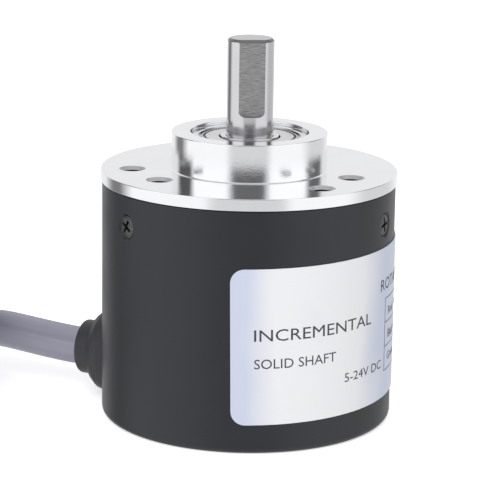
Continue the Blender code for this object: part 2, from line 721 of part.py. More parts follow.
def make_board():
    """The round circuit board, held by three standoffs, and the parts on it."""
    outlines = [circle_points(BOARD_RADIUS, BIG_STEPS)]
    for turn in THREE:
        centre = outward(OUTER_HOLES_AT + turn) * STANDOFFS
        outlines.append(circle_points(1.1 * MM, HOLE_STEPS, centre.xy))
    plate("circuit_board", outlines, BOARD_BOTTOM, BOARD_TOP, "board_green")

    for number, turn in enumerate(THREE, 1):
        azimuth = OUTER_HOLES_AT + turn
        post = rod(f"standoff_{number}", 1.9 * MM, BOARD_TOP + FIT, SPIGOT_BOTTOM - FIT, "brass", 6)
        stud = rod(f"standoff_stud_{number}", 0.95 * MM, -MM, 2.4 * MM, None, HOLE_STEPS, "cutters")
        tapped = rod(f"standoff_bore_{number}", 0.9 * MM, -MM, 4 * MM, None, HOLE_STEPS, "cutters")
        turned_to(post, azimuth, STANDOFFS, 0)
        join(post, turned_to(stud, azimuth, STANDOFFS, SPIGOT_BOTTOM))
        cut(post, turned_to(tapped, azimuth, STANDOFFS, BOARD_TOP))
        head = BOARD_BOTTOM - FIT
        profile = [
            (0, head + 4.2 * MM),
            (0.8 * MM, head + 4.2 * MM),
            (0.8 * MM, head),
            (1.7 * MM, head),
            (1.7 * MM, head - 0.6 * MM),
            (1.2 * MM, head - 1.0 * MM),
            (0, head - 1.0 * MM),
        ]
        screw = turned(f"board_screw_{number}", profile, "ground_steel", HOLE_STEPS)
        recess, across = cross_recess(f"board_screw_recess_{number}", 1.5 * MM, 0.4 * MM)
        turned_to(screw, azimuth, STANDOFFS, 0)
        for obj in (recess, across):
            turned_to(obj, azimuth, STANDOFFS, head - 1.0 * MM)
        cut(screw, recess)

    make_chip("sensor_chip", 5.0 * MM, 4.0 * MM, 1.3 * MM, 4, LED_AT, TRACK_RADIUS, 1)
    make_chip("line_driver_chip", 9.0 * MM, 3.9 * MM, 1.5 * MM, 8, 70, 7.5 * MM, -1)
    make_chip("voltage_regulator", 4.5 * MM, 2.5 * MM, 1.5 * MM, 3, 10, 11.0 * MM, -1)
    for number, azimuth in enumerate((120, 150), 1):
        height = 5.2 * MM
        profile = [
            (0, BOARD_BOTTOM - 2 * FIT),
            (2.0 * MM, BOARD_BOTTOM - 2 * FIT),
            (2.0 * MM, BOARD_BOTTOM - height + 0.3 * MM),
            (1.7 * MM, BOARD_BOTTOM - height),
            (0, BOARD_BOTTOM - height),
        ]
        capacitor = turned(f"capacitor_{number}", profile, "aluminium", SCREW_STEPS)
        turned_to(capacitor, azimuth, 10.5 * MM, 0)
    for number, azimuth in enumerate((-45, -20, 5), 1):
        resistor = block(f"resistor_{number}", (2.0 * MM, 1.25 * MM, 0.5 * MM), "chip_black", bevel=0.1 * MM)
        turned_to(resistor, azimuth, 6.8 * MM, BOARD_BOTTOM - 0.35 * MM)


# The cable


def cable_exit(distance):
    """A point on the cable's straight stretch through the wall."""
    return outward(CABLE_AT) * distance + Vector((0, 0, CABLE_HEIGHT))


def make_grommet():
    """Rubber grommet: bell-shaped outer flange and nub, a neck through the wall, an inner flange."""
    outer = [
        (0, 23.3 * MM),
        (3.1 * MM, 23.3 * MM),
        (3.6 * MM, 22.8 * MM),
        (3.6 * MM, 21.4 * MM),
        (4.6 * MM, 20.9 * MM),
        (5.3 * MM, 20.1 * MM),
        (5.6 * MM, 19.2 * MM),
        (5.6 * MM, 17.2 * MM),
        (0, 17.2 * MM),
    ]
    inner = [
        (0, 19.2 * MM),
        (3.85 * MM, 19.2 * MM),
        (3.85 * MM, 17.0 * MM),
        (4.2 * MM, 17.0 * MM),
        (4.2 * MM, 15.6 * MM),
        (0, 15.6 * MM),
    ]
    grommet = turned("cable_grommet", outer, "black_rubber")
    inside = turned("grommet_inside", inner, None, collection="cutters")
    bore = rod("grommet_bore", CABLE_RADIUS + FIT, 10 * MM, 30 * MM, None, collection="cutters")
    for obj in (grommet, inside, bore):
        facing(obj, CABLE_AT, 0, CABLE_HEIGHT)
    wall = rod("grommet_wall", COVER_RADIUS + FIT, -5 * MM, 20 * MM, None, BIG_STEPS, "cutters")
    cut(grommet, wall)
    join(grommet, inside)
    return cut(grommet, bore)


def lead_route():
    """The cable from inside the cover, through the grommet, back and down to the hank."""
    straight = [cable_exit(distance * MM) for distance in (11.6, 16, 20, 24)]
    curved = [
        (-26.3, 9.9, 6.1),
        (-30.0, 12.3, 6.2),
        (-33.8, 15.2, 6.1),
        (-38.0, 17.8, 5.6),
        (-40.5, 18.9, 5.2),
    ]
    return straight + [Vector(point) * MM for point in curved]


def make_cable():
    """The lead, and the hank that the rest of its length is folded into."""
    tube("cable_lead", smooth_path(lead_route(), 2 * CABLE_RADIUS), CABLE_RADIUS - FIT / 5, "grey_jacket", 2)
    clamp = ring("cable_clamp", CABLE_RADIUS + FIT, 3.5 * MM, 12.7 * MM, 15.2 * MM, "nylon_white")
    facing(clamp, CABLE_AT, 0, CABLE_HEIGHT)

    outer = LANE_OUTER + CABLE_RADIUS
    inner = LANE_INNER - CABLE_RADIUS
    straight = hank_straight()
    middle = HANK_RIGHT - outer - straight / 2
    top = HANK_BOTTOM + HANK_LAYERS * 2 * CABLE_RADIUS
    outlines = []
    for radius in (outer, inner):
        ends = arc(straight / 2, 0, radius, -90, 90, 13) + arc(-straight / 2, 0, radius, 90, 270, 13)
        outlines.append([(middle + x, y) for x, y in ends])
    plate("cable_hank", outlines, HANK_BOTTOM, top, "grey_jacket")

    width = 2 * (outer + 3 * FIT)
    height = top + 3 * FIT
    wall = 2 * TIE_THICKNESS
    outlines = [
        rounded_outline(width + wall, height + TIE_THICKNESS, TIE_THICKNESS),
        rounded_outline(width, height - TIE_THICKNESS, FIT),
    ]
    tie = plate("cable_tie", outlines, -TIE_WIDTH / 2, TIE_WIDTH / 2, "black_plastic")
    tie.rotation_euler = (math.radians(90), 0, math.radians(90))
    tie.location = (middle, 0, (height + TIE_THICKNESS) / 2)

    end_side = inner - CABLE_RADIUS - GAP
    end_height = HANK_BOTTOM + CABLE_RADIUS
    shifts = (-END_PAST_MIDDLE, 0, END_PAST_MIDDLE)
    end_points = [Vector((middle + shift, -end_side, end_height)) for shift in shifts]
    tube("cable_end", end_points, CABLE_RADIUS, "grey_jacket")
    for number, colour in enumerate(WIRES):
        make_tail(colour, number, end_points[-1])


def bundled(number):
    """Where a wire lies in the jacket's cross section: sideways and up from its centre."""
    return (number - 2) * 0.9 * MM, (0.7 if number % 2 else -0.7) * MM


def make_tail(colour, number, end):
    """One bare-ended wire that fans out of the cable's far end inside the hank, down to the surface."""
    radius = 0.55 * MM
    side, up = bundled(number)
    start = end + Vector((GAP, side, up))
    fan = number - 2
    route = [
        start,
        start + Vector((5.0, 0.6 + 0.3 * fan, 0)) * MM,
        Vector((start.x + 13 * MM, start.y + (2.6 + 1.1 * fan) * MM, 3 * radius)),
        Vector((start.x + 24 * MM, start.y + (6.0 + 2.2 * fan) * MM, radius + 2 * FIT)),
    ]
    tube(f"tail_{colour}", smooth_path(route, 3 * MM), radius, f"wire_{colour}")


def hank_straight():
    """The straight stretch of the hank's turns, from the cable's length."""
    route = smooth_path(lead_route(), CABLE_RADIUS)
    lead = sum((b - a).length for a, b in zip(route, route[1:])) + HANK_ENTRY
    outer_ends = 6 * LANE_OUTER
    inner_ends = 6 * LANE_INNER
    crossing = (LANE_OUTER + LANE_INNER) / 2
    ends = math.pi * (outer_ends + inner_ends + crossing)
    lanes = 13.5  # the last one ends half way
    return (CABLE_LENGTH - lead - ends - END_PAST_MIDDLE) / lanes


def make_inner_wires():
    """The header on the board and the five wires from the cable's end to it."""
    header_at = 3.2 * MM
    size = (10 * MM, 3.4 * MM, 3.2 * MM)
    header = block("wire_header", size, "nylon_white", bevel=0.2 * MM)
    turned_to(header, CABLE_AT, header_at, BOARD_BOTTOM - size[2] / 2 - FIT)
    pin_height = BOARD_BOTTOM - size[2] / 2 - FIT
    side = sideways(CABLE_AT)
    for number, colour in enumerate(WIRES):
        sideways_shift, up = bundled(number)
        start = cable_exit(11.3 * MM) + side * sideways_shift + Vector((0, 0, up))
        across = (number - 2) * 1.9 * MM
        end = outward(CABLE_AT) * (header_at + size[1] / 2 + GAP) + side * across
        end.z = pin_height
        out = outward(CABLE_AT)
        route = [start, start - out * 1.8 * MM, end + out * 1.6 * MM, end]
        tube(f"wire_{colour}", smooth_path(route, 1.2 * MM), 0.45 * MM, f"wire_{colour}")


# The label


def make_label():
    """A thin film wrapped on the cover: a rounded rectangle cut into strips and bent."""
    width, height, corner = 50.0 * MM, 19.8 * MM, 1.75 * MM
    left_edge = -1.85 * MM
    centre_height = 14.15 * MM
    tilt = math.radians(0.9)
    inner = COVER_RADIUS + FIT
    thickness = 0.12 * MM
    strip = 1.6 * MM
    shape = bmesh.new()
    corners = [shape.verts.new((x, y, 0)) for x, y in rounded_outline(width, height, corner)]
    shape.faces.new(corners)
    count = math.ceil(width / strip)
    for number in range(1, count):
        x = -width / 2 + width * number / count
        geometry = shape.verts[:] + shape.edges[:] + shape.faces[:]
        bmesh.ops.bisect_plane(shape, geom=geometry, plane_co=(x, 0, 0), plane_no=(1, 0, 0))
    top = bmesh.ops.extrude_face_region(shape, geom=shape.faces[:])
    raised = [item for item in top["geom"] if isinstance(item, bmesh.types.BMVert)]
    bmesh.ops.translate(shape, vec=(0, 0, thickness), verts=raised)
    bmesh.ops.recalc_face_normals(shape, faces=shape.faces)
    for vertex in shape.verts:
        x, y, depth = vertex.co
        along = left_edge + width / 2 + x * math.cos(tilt) - y * math.sin(tilt)
        up = centre_height + x * math.sin(tilt) + y * math.cos(tilt)
        angle = along / COVER_RADIUS
        radius = inner + depth
        vertex.co = (radius * math.sin(angle), -radius * math.cos(angle), up)
    mesh = bpy.data.meshes.new("label")
    shape.to_mesh(mesh)
    shape.free()
    return add("label", mesh, "label_film")


def main():
    make_housing()
    make_cover()
    make_cover_screws()
    make_bearings()
    make_wave_washer()
    make_shaft()
    make_circlip()
    make_hub()
    make_code_disc()
    make_optics()
    make_board()
    make_grommet()
    make_cable()
    make_inner_wires()
    make_label()
    bpy.context.view_layer.update()
    for obj in collections["parts"].objects:
        if obj.type == "MESH":
            settle(obj)


clear_scene()
collections = {"parts": make_collection("rotary_encoder"), "cutters": make_collection("cutters")}
main()
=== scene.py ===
"""Looks of the incremental rotary encoder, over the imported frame.

Metres, +Z up along the shaft, as in the frame. An azimuth is in degrees seen from above: 0 is -Y and 90 is
+X. Meshes are made in the frame's own coordinates, so materials can read lengths in metres.
"""

import functools
import json
import math

import bmesh
import bpy
from mathutils import Matrix, Vector


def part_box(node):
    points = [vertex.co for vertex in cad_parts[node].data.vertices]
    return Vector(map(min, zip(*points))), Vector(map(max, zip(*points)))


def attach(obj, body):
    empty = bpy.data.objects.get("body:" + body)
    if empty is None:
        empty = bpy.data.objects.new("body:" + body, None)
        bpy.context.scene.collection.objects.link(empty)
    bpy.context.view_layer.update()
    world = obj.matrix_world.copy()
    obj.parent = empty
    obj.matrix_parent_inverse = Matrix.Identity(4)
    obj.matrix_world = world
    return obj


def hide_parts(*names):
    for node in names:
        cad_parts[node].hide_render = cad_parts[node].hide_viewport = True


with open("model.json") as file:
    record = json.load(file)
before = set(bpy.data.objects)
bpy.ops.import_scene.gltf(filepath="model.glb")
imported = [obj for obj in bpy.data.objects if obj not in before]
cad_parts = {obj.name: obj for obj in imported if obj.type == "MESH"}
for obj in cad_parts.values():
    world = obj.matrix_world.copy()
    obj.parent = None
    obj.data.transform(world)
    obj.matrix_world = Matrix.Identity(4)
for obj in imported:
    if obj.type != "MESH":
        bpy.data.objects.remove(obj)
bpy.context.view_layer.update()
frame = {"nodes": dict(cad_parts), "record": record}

MM = 0.001

# Driving dimensions, as in the frame
FLANGE_RADIUS = 19.0 * MM
FLANGE_TOP = 32.4 * MM
FLANGE_RIM = 1.5 * MM
BOSS_RADIUS = 10.0 * MM
BOSS_TOP = FLANGE_TOP + 4.8 * MM
SHAFT_RADIUS = 3.0 * MM
SHAFT_TOP = FLANGE_TOP + 16.8 * MM
SHAFT_BOTTOM = 12.6 * MM
COVER_RADIUS = 18.85 * MM
COVER_WALL = 1.2 * MM
CABLE_RADIUS = 2.5 * MM
FIT = 0.05 * MM
GAP = 0.3 * MM

# Bearings
BEARING_OUTER = 7.5 * MM
BEARING_INNER = SHAFT_RADIUS + FIT
BEARING_WIDTH = 5.0 * MM
BALL_RADIUS = 1.4 * MM
BALL_PITCH = 5.25 * MM
BALL_COUNT = 7
INNER_SHOULDER = 4.0 * MM
OUTER_SHOULDER = 6.5 * MM
FRONT_BEARING = BOSS_TOP - 0.5 * MM - BEARING_WIDTH
REAR_BEARING = 19.75 * MM

# Heights and places
SPIGOT_RADIUS = COVER_RADIUS - COVER_WALL - 2 * FIT
SPIGOT_BOTTOM = 23.5 * MM
TUBE_BOTTOM = 19.6 * MM
COVER_FLOOR = 1.5 * MM
SCREW_HEIGHT = 26.9 * MM
CABLE_HEIGHT = 5.9 * MM
STANDOFFS = 14.6 * MM
LED_SCREW_RADIUS = 15.9 * MM
CIRCLIP_HEIGHT = 18.95 * MM
COVER_SCREWS_AT = -53.7
INNER_HOLES_AT = -52.7
OUTER_HOLES_AT = -82.7
INNER_CIRCLE = 14.0 * MM
OUTER_CIRCLE = 15.0 * MM
TAP_RADIUS = 1.27 * MM
TAP_MOUTH = 1.7 * MM
TAP_DEPTH = 4.0 * MM
TAP_PITCH = 0.5 * MM
CABLE_AT = -110.0
FLAT_AT = 5.3
FLAT_DISTANCE = 2.5 * MM
FLAT_LENGTH = 9.8 * MM
LED_AT = 97.0
THREE = (0, 120, 240)

# The hank of stored cable
LANE_OUTER = 20.0 * MM
LANE_INNER = 15.0 * MM
LAYERS = 4

BIG_STEPS = 192
MID_STEPS = 96
SMALL_STEPS = 48
FEW_STEPS = 24
WIRE_COLOURS = {
    "red": (0.42, 0.018, 0.015),
    "black": (0.016, 0.016, 0.018),
    "green": (0.018, 0.20, 0.055),
    "white": (0.72, 0.72, 0.70),
    "yellow": (0.66, 0.43, 0.02),
}


# Places and outlines


def outward(azimuth):
    angle = math.radians(azimuth)
    return Vector((math.sin(angle), -math.cos(angle), 0.0))


def spun(degrees, axis="Z"):
    return Matrix.Rotation(math.radians(degrees), 4, axis)


def place_at(azimuth, distance, height):
    return outward(azimuth) * distance + Vector((0, 0, height))


def upright(azimuth, distance, height):
    """Puts local Z up, local +X sideways and local +Y towards the shaft."""
    place = Matrix.Translation(place_at(azimuth, distance, height))
    return place @ spun(azimuth)


def facing(azimuth, distance, height):
    """Puts local Z outward at an azimuth."""
    place = Matrix.Translation(place_at(azimuth, distance, height))
    return place @ outward(azimuth).to_track_quat("Z", "Y").to_matrix().to_4x4()


def arc(radius, height, size, start, end, points):
    angles = [math.radians(start + (end - start) * i / (points - 1)) for i in range(points)]
    return [(radius + size * math.cos(a), height + size * math.sin(a)) for a in angles]


def rounded(corners, closed=True, segments=4):
    """An outline of (x, y, fillet) corners, all in millimetres, as points in metres."""
    outline = []
    count = len(corners)
    for i, (x, y, fillet) in enumerate(corners):
        at_end = not closed and i in (0, count - 1)
        if at_end or not fillet:
            outline.append((x * MM, y * MM))
            continue
        here = Vector((x, y))
        back = (Vector(corners[i - 1][:2]) - here).normalized()
        ahead = (Vector(corners[(i + 1) % count][:2]) - here).normalized()
        half = back.angle(ahead) / 2
        centre = here + (back + ahead).normalized() * fillet / math.sin(half)
        first = here + back * fillet / math.tan(half) - centre
        last = here + ahead * fillet / math.tan(half) - centre
        for step in range(segments + 1):
            point = centre + first.slerp(last, step / segments).normalized() * fillet
            outline.append((point.x * MM, point.y * MM))
    return outline


def plug(radius, low, high):
    """The (radius, height) outline of a plain round cutter."""
    return [(0, high), (radius, high), (radius, low), (0, low)]


def eased(t):
    """Goes from 0 to 1 with a level start and end."""
    return t * t * (3 - 2 * t)


def smooth_path(route, spacing):
    """Points about one spacing apart on a smooth curve through the route's points."""
    route = [Vector(point) for point in route]
    ends = [route[0] * 2 - route[1], *route, route[-1] * 2 - route[-2]]
    path = []
    for a, b, c, d in zip(ends, ends[1:], ends[2:], ends[3:]):
        count = max(1, round((c - b).length / spacing))
        for i in range(count):
            t = i / count
            path.append(
                b
                + (c - a) * (t / 2)
                + (a * 2 - b * 5 + c * 4 - d) * (t * t / 2)
                + (b * 3 - a - c * 3 + d) * (t * t * t / 2)
            )
    return [*path, route[-1]]


# Meshes


def linked(name, data):
    """A new object in the scene."""
    obj = bpy.data.objects.new(name, data)
    bpy.context.scene.collection.objects.link(obj)
    return obj


def object_from(name, shape, matrix=None):
    """An object from a bmesh, with its place worked into the mesh."""
    bmesh.ops.recalc_face_normals(shape, faces=shape.faces)
    mesh = bpy.data.meshes.new(name)
    if matrix:
        shape.transform(matrix)
    shape.to_mesh(mesh)
    shape.free()
    return linked(name, mesh)


def add_sides(shape, first, second):
    """Joins two rings of as many vertices by faces, triangles where a ring is one point repeated."""
    around = zip(first, first[1:] + first[:1], second[1:] + second[:1], second)
    return [shape.faces.new(list(dict.fromkeys(corners))) for corners in around]


def add_turned(shape, profile, steps, matrix=None):
    """Adds a (radius, height) outline turned around Z to a bmesh; radius 0 closes on the axis."""
    rings = []
    for radius, height in profile:
        count = steps if radius > 0 else 1
        angles = [math.tau * i / steps for i in range(count)]
        points = [Vector((radius * math.cos(a), radius * math.sin(a), height)) for a in angles]
        rings.append([shape.verts.new(matrix @ point if matrix else point) for point in points])
    pairs = list(zip(rings, rings[1:]))
    if profile[0][0] > 0:
        pairs.append((rings[-1], rings[0]))
    for above, below in pairs:
        add_sides(shape, above * (steps // len(above)), below * (steps // len(below)))


def turned(name, profile, steps=SMALL_STEPS, matrix=None):
    shape = bmesh.new()
    add_turned(shape, profile, steps)
    return object_from(name, shape, matrix)


def add_tube(shape, points, radii, sides):
    """Adds a round tube through points, with a radius at each point and flat ends."""
    forward = (points[1] - points[0]).normalized()
    side = forward.orthogonal().normalized()
    rings = []
    for i, point in enumerate(points):
        before = points[max(i - 1, 0)]
        after = points[min(i + 1, len(points) - 1)]
        forward = (after - before).normalized() if (after - before).length > 0 else forward
        side = (side - forward * side.dot(forward)).normalized()
        up = forward.cross(side)
        turn = [math.tau * k / sides for k in range(sides)]
        ring = [point + (side * math.cos(a) + up * math.sin(a)) * radii[i] for a in turn]
        rings.append([shape.verts.new(place) for place in ring])
    faces = []
    for first, second in zip(rings, rings[1:]):
        faces += add_sides(shape, first, second)
    faces.append(shape.faces.new(rings[0][::-1]))
    faces.append(shape.faces.new(rings[-1]))
    return faces


def add_slab(shape, outline, bottom, top, matrix):
    """Adds a flat plate of an (x, y) outline to a bmesh."""
    lower = [shape.verts.new(matrix @ Vector((x, y, bottom))) for x, y in outline]
    upper = [shape.verts.new(matrix @ Vector((x, y, top))) for x, y in outline]
    shape.faces.new(lower[::-1])
    shape.faces.new(upper)
    add_sides(shape, lower, upper)


def rectangle(width, height, fillet, segments=4):
    """A rectangle round the origin, sizes in millimetres."""
    x, y = width / 2, height / 2
    corners = [(x, -y, fillet), (x, y, fillet), (-x, y, fillet), (-x, -y, fillet)]
    return rounded(corners, segments=segments)


def boolean(obj, other, operation="DIFFERENCE"):
    """Applies a boolean with a helper object, which is then removed."""
    modifier = obj.modifiers.new("cut", "BOOLEAN")
    modifier.operation = operation
    modifier.object = other
    modifier.solver = "EXACT"
    apply_modifiers(obj)
    bpy.data.objects.remove(other, do_unlink=True)


def evaluated_mesh(obj):
    bpy.context.view_layer.update()
    graph = bpy.context.evaluated_depsgraph_get()
    return bpy.data.meshes.new_from_object(obj.evaluated_get(graph))


def apply_modifiers(obj):
    mesh = evaluated_mesh(obj)
    obj.modifiers.clear()
    obj.data = mesh


def soften(obj, angle=30):
    """Smooth shading that keeps flat faces flat and real edges sharp."""
    obj.data.shade_smooth()
    obj.data.set_sharp_from_angle(angle=math.radians(angle))
    modifier = obj.modifiers.new("normals", "WEIGHTED_NORMAL")
    modifier.keep_sharp = True
    modifier.weight = 90
    apply_modifiers(obj)


def coat(obj, *looks):
    for look in looks:
        obj.data.materials.append(look)


def piece(obj, slot, body="encoder_body", replaces=(), angle=30):
    """Finishes a piece: its material, the CAD body it rides on and the CAD nodes it stands for."""
    if obj.type == "MESH":
        soften(obj, angle)
    if not obj.data.materials:
        coat(obj, LOOKS[slot])
    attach(obj, body)
    if replaces:
        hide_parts(*replaces)
    return obj


def paint(obj, look, test):
    """Gives a second material to the faces whose centre and normal pass a test."""
    coat(obj, look)
    index = len(obj.data.materials) - 1
    for face in obj.data.polygons:
        if test(face.center, face.normal):
            face.material_index = index


# Materials


def add_node(tree, kind, links=(), values=(), **settings):
    """Adds a shader node, with its linked sockets, its socket values and its settings."""
    made = tree.nodes.new(f"ShaderNode{kind}")
    for key, value in settings.items():
        setattr(made, key, value)
    for socket, source in dict(links).items():
        tree.links.new(source, made.inputs[socket])
    for socket, value in dict(values).items():
        made.inputs[socket].default_value = value
    return made


def add_ramp(tree, source, stops):
    """Adds a colour ramp; a stop is (position, (red, green, blue))."""
    ramp = add_node(tree, "ValToRGB", {0: source})
    elements = ramp.color_ramp.elements
    while len(elements) < len(stops):
        elements.new(0.5)
    for element, (position, colour) in zip(elements, stops):
        element.position = position
        element.color = (*colour, 1.0)
    return ramp.outputs["Color"]


class Look:
    """A procedural material: a Principled BSDF and the nodes that feed it."""

    def __init__(self, name, roughness=0.5, metallic=0.0, **sockets):
        self.material = bpy.data.materials.new(name)
        self.material.use_nodes = True
        self.tree = self.material.node_tree
        self.shader = self.tree.nodes["Principled BSDF"]
        for socket, value in {"Roughness": roughness, "Metallic": metallic, **sockets}.items():
            self.shader.inputs[socket.replace("_", " ")].default_value = value

    def node(self, kind, links=(), values=(), **settings):
        return add_node(self.tree, kind, links, values, **settings)

    def here(self, stretch=(1, 1, 1)):
        """The point in metres, with each axis multiplied."""
        point = self.node("TexCoord").outputs["Object"]
        return self.node("Mapping", {"Vector": point}, {"Scale": stretch}).outputs["Vector"]

    def polar(self, turn_scale=0.002):
        """The point as (distance from the shaft's axis, height, a little of the turn round it)."""
        point = self.node("TexCoord").outputs["Object"]
        split = self.node("SeparateXYZ", {0: point}).outputs
        level = self.node("CombineXYZ", {0: split[0], 1: split[1]}).outputs[0]
        distance = self.node("VectorMath", {0: level}, operation="LENGTH").outputs["Value"]
        turn = self.node("Math", {0: split[1], 1: split[0]}, operation="ARCTAN2").outputs[0]
        scaled = self.node("Math", {0: turn}, {1: turn_scale}, operation="MULTIPLY").outputs[0]
        return self.node("CombineXYZ", {0: distance, 1: split[2], 2: scaled}).outputs[0]

    def noise(self, size, detail=2.0, roughness=0.5, vector=None):
        """Noise whose features are about one size wide, from 0 to 1."""
        values = {"Scale": 1 / size, "Detail": detail, "Roughness": roughness}
        return self.node("TexNoise", {"Vector": vector or self.here()}, values).outputs[0]

    def span(self, source, low, high, start=0.3, end=0.7):
        """Maps a 0 to 1 value onto a range."""
        values = {"From Min": start, "From Max": end, "To Min": low, "To Max": high}
        return self.node("MapRange", {"Value": source}, values).outputs["Result"]

    def colours(self, source, *stops):
        return add_ramp(self.tree, source, stops)

    def set(self, socket, source):
        self.tree.links.new(source, self.shader.inputs[socket])

    def bump(self, height, depth):
        values = {"Distance": depth, "Strength": 1.0}
        return self.node("Bump", {"Height": height}, values).outputs["Normal"]


def shade(colour, factor):
    return tuple(channel * factor for channel in colour)


def turned_metal(name, colour, roughness, groove, depth, wear=0.06):
    """Bright metal off a lathe, with rings this wide and deep in millimetres, and faint clouding."""
    look = Look(name, roughness, 1.0)
    rings = look.noise(groove * MM, 3.0, 0.6, look.polar())
    clouds = look.noise(6 * MM, 3.0)
    look.set("Base Color", look.colours(clouds, (0.3, shade(colour, 1 - wear)), (0.7, colour)))
    look.set("Roughness", look.span(rings, roughness * 0.7, roughness * 1.4))
    look.set("Normal", look.bump(rings, depth * MM))
    return look.material


def ground_metal(name, colour, roughness, across, along, depth):
    """Metal with parallel grinding lines: across is the line's width on each axis, along its length."""
    look = Look(name, roughness, 1.0)
    stretch = tuple(along / size for size in across)
    lines = look.noise(along, 4.0, 0.65, look.here(stretch))
    broad = look.noise(5 * along, 2.0, vector=look.here(stretch))
    look.set("Base Color", look.colours(lines, (0.32, shade(colour, 0.5)), (0.68, shade(colour, 1.25))))
    look.set("Roughness", look.span(broad, roughness * 0.8, roughness * 1.25))
    look.set("Normal", look.bump(lines, depth))
    return look.material


def plastic(name, colour, roughness, grain, depth, spread=0.12, **sockets):
    """Moulded plastic or rubber, with grain this wide and deep in millimetres, its tone varying."""
    look = Look(name, roughness, 0.0, **sockets)
    fine = look.noise(grain * MM, 3.0, 0.6)
    broad = look.noise(60 * grain * MM, 3.0, 0.5)
    stops = (0.3, shade(colour, 1 - spread)), (0.7, shade(colour, 1 + spread))
    look.set("Base Color", look.colours(broad, *stops))
    look.set("Roughness", look.span(broad, roughness * 0.92, roughness * 1.08))
    look.set("Normal", look.bump(fine, depth * MM))
    return look.material


def blackened_steel():
    """Black oxide with bare metal showing through on the worn grain."""
    look = Look("black_oxide_steel", 0.42, 0.85)
    grain = look.noise(0.25 * MM, 4.0, 0.65)
    broad = look.noise(1.5 * MM, 2.0)
    look.set("Base Color", look.colours(grain, (0.35, (0.05, 0.051, 0.054)), (0.75, (0.24, 0.235, 0.23))))
    look.set("Roughness", look.span(broad, 0.34, 0.52))
    look.set("Normal", look.bump(grain, 0.004 * MM))
    return look.material


def label_film():
    """Satin film of a bluish white, with a painted highlight: plain white in a broad band, drifting back to
    bluish white on both sides of it.
    """
    look = Look("satin_label_film", 0.34, 0.0)
    point = look.node("TexCoord").outputs["Object"]
    across = look.node("SeparateXYZ", {0: point}).outputs[0]
    aside = look.node("Math", {0: across}, {1: -9 * MM}, operation="ADD").outputs[0]
    far = look.node("Math", {0: aside}, operation="ABSOLUTE").outputs[0]
    # Painted highlight: plain white in a broad band round x = 9 mm, fading to the film's bluish white 4 to 9
    # mm from it
    band = look.span(far, 1.0, 0.0, 4 * MM, 9 * MM)
    clouds = look.noise(8 * MM, 1.0, 0.4, look.here((1, 1, 0.6)))
    shift = look.span(clouds, -0.25, 0.25)
    highlight_and_clouds = look.node("Math", {0: band, 1: shift}, operation="ADD").outputs[0]
    cool, pale = (0.56, 0.60, 0.73), (0.78, 0.785, 0.80)
    look.set("Base Color", look.colours(highlight_and_clouds, (0.1, cool), (0.9, pale)))
    grain = look.noise(0.12 * MM, 2.0)
    look.set("Roughness", look.span(clouds, 0.30, 0.40))
    look.set("Normal", look.bump(grain, 0.0006 * MM))
    return look.material


def printed_ink():
    look = Look("label_ink", 0.45, 0.0)
    grain = look.noise(0.1 * MM, 2.0)
    look.set("Base Color", look.colours(grain, (0.3, (0.030, 0.031, 0.036)), (0.8, (0.075, 0.077, 0.085))))
    look.set("Roughness", look.span(grain, 0.4, 0.55))
    return look.material


def cable_jacket():
    """Matt PVC with a faint lengthwise lay of the cores under it."""
    look = Look("pvc_jacket", 0.42, 0.0)
    grain = look.noise(0.22 * MM, 3.0)
    along = look.node("TexCoord").outputs["UV"]
    streaks = look.node("Mapping", {"Vector": along}, {"Scale": (18, 7, 1)}).outputs["Vector"]
    broad = look.noise(1.0, 2.0, vector=streaks)
    stops = (0.35, (0.255, 0.25, 0.315)), (0.65, (0.345, 0.34, 0.42))
    look.set("Base Color", look.colours(broad, *stops))
    look.set("Roughness", look.span(grain, 0.38, 0.48))
    look.set("Normal", look.bump(grain, 0.004 * MM))
    return look.material


def circuit_lacquer():
    """Green solder mask over a maze of copper tracks, with bare fibre at the rim."""
    look = Look("solder_mask", 0.3, 0.0, Coat_Weight=0.3)
    values = {"Scale": 1 / (1.6 * MM), "Randomness": 0.75}
    cells = look.node(
        "TexVoronoi", {"Vector": look.here()}, values, distance="CHEBYCHEV", feature="F1"
    ).outputs["Distance"]
    tracks = look.span(cells, 0.0, 1.0, 0.36, 0.40)
    colour = look.colours(tracks, (0.0, (0.012, 0.13, 0.045)), (1.0, (0.03, 0.24, 0.09)))
    look.set("Base Color", colour)
    look.set("Normal", look.bump(tracks, 0.02 * MM))
    return look.material


def clear_plastic():
    """Clear moulded lens, a little uneven inside."""
    look = Look("clear_lens", 0.06, 0.0, Transmission_Weight=0.9, IOR=1.5)
    streaks = look.noise(0.8 * MM, 2.0, vector=look.here((1, 1, 0.3)))
    look.set("Base Color", look.colours(streaks, (0.3, (0.84, 0.90, 0.90)), (0.7, (0.95, 0.97, 0.97))))
    look.set("Roughness", look.span(streaks, 0.03, 0.09))
    return look.material


def strap_weave():
    """Hook-and-loop tape: a fine plain weave with fuzz."""
    look = Look("woven_strap", 0.85, 0.0, Sheen_Weight=0.3)
    weave = look.node(
        "TexWave",
        {"Vector": look.here()},
        {"Scale": 1 / (2.4 * MM), "Distortion": 1.5, "Detail": 2.0},
        bands_direction="DIAGONAL",
    ).outputs["Fac"]
    look.set("Base Color", look.colours(weave, (0.2, (0.012, 0.012, 0.014)), (0.8, (0.045, 0.045, 0.05))))
    look.set("Normal", look.bump(weave, 0.05 * MM))
    return look.material


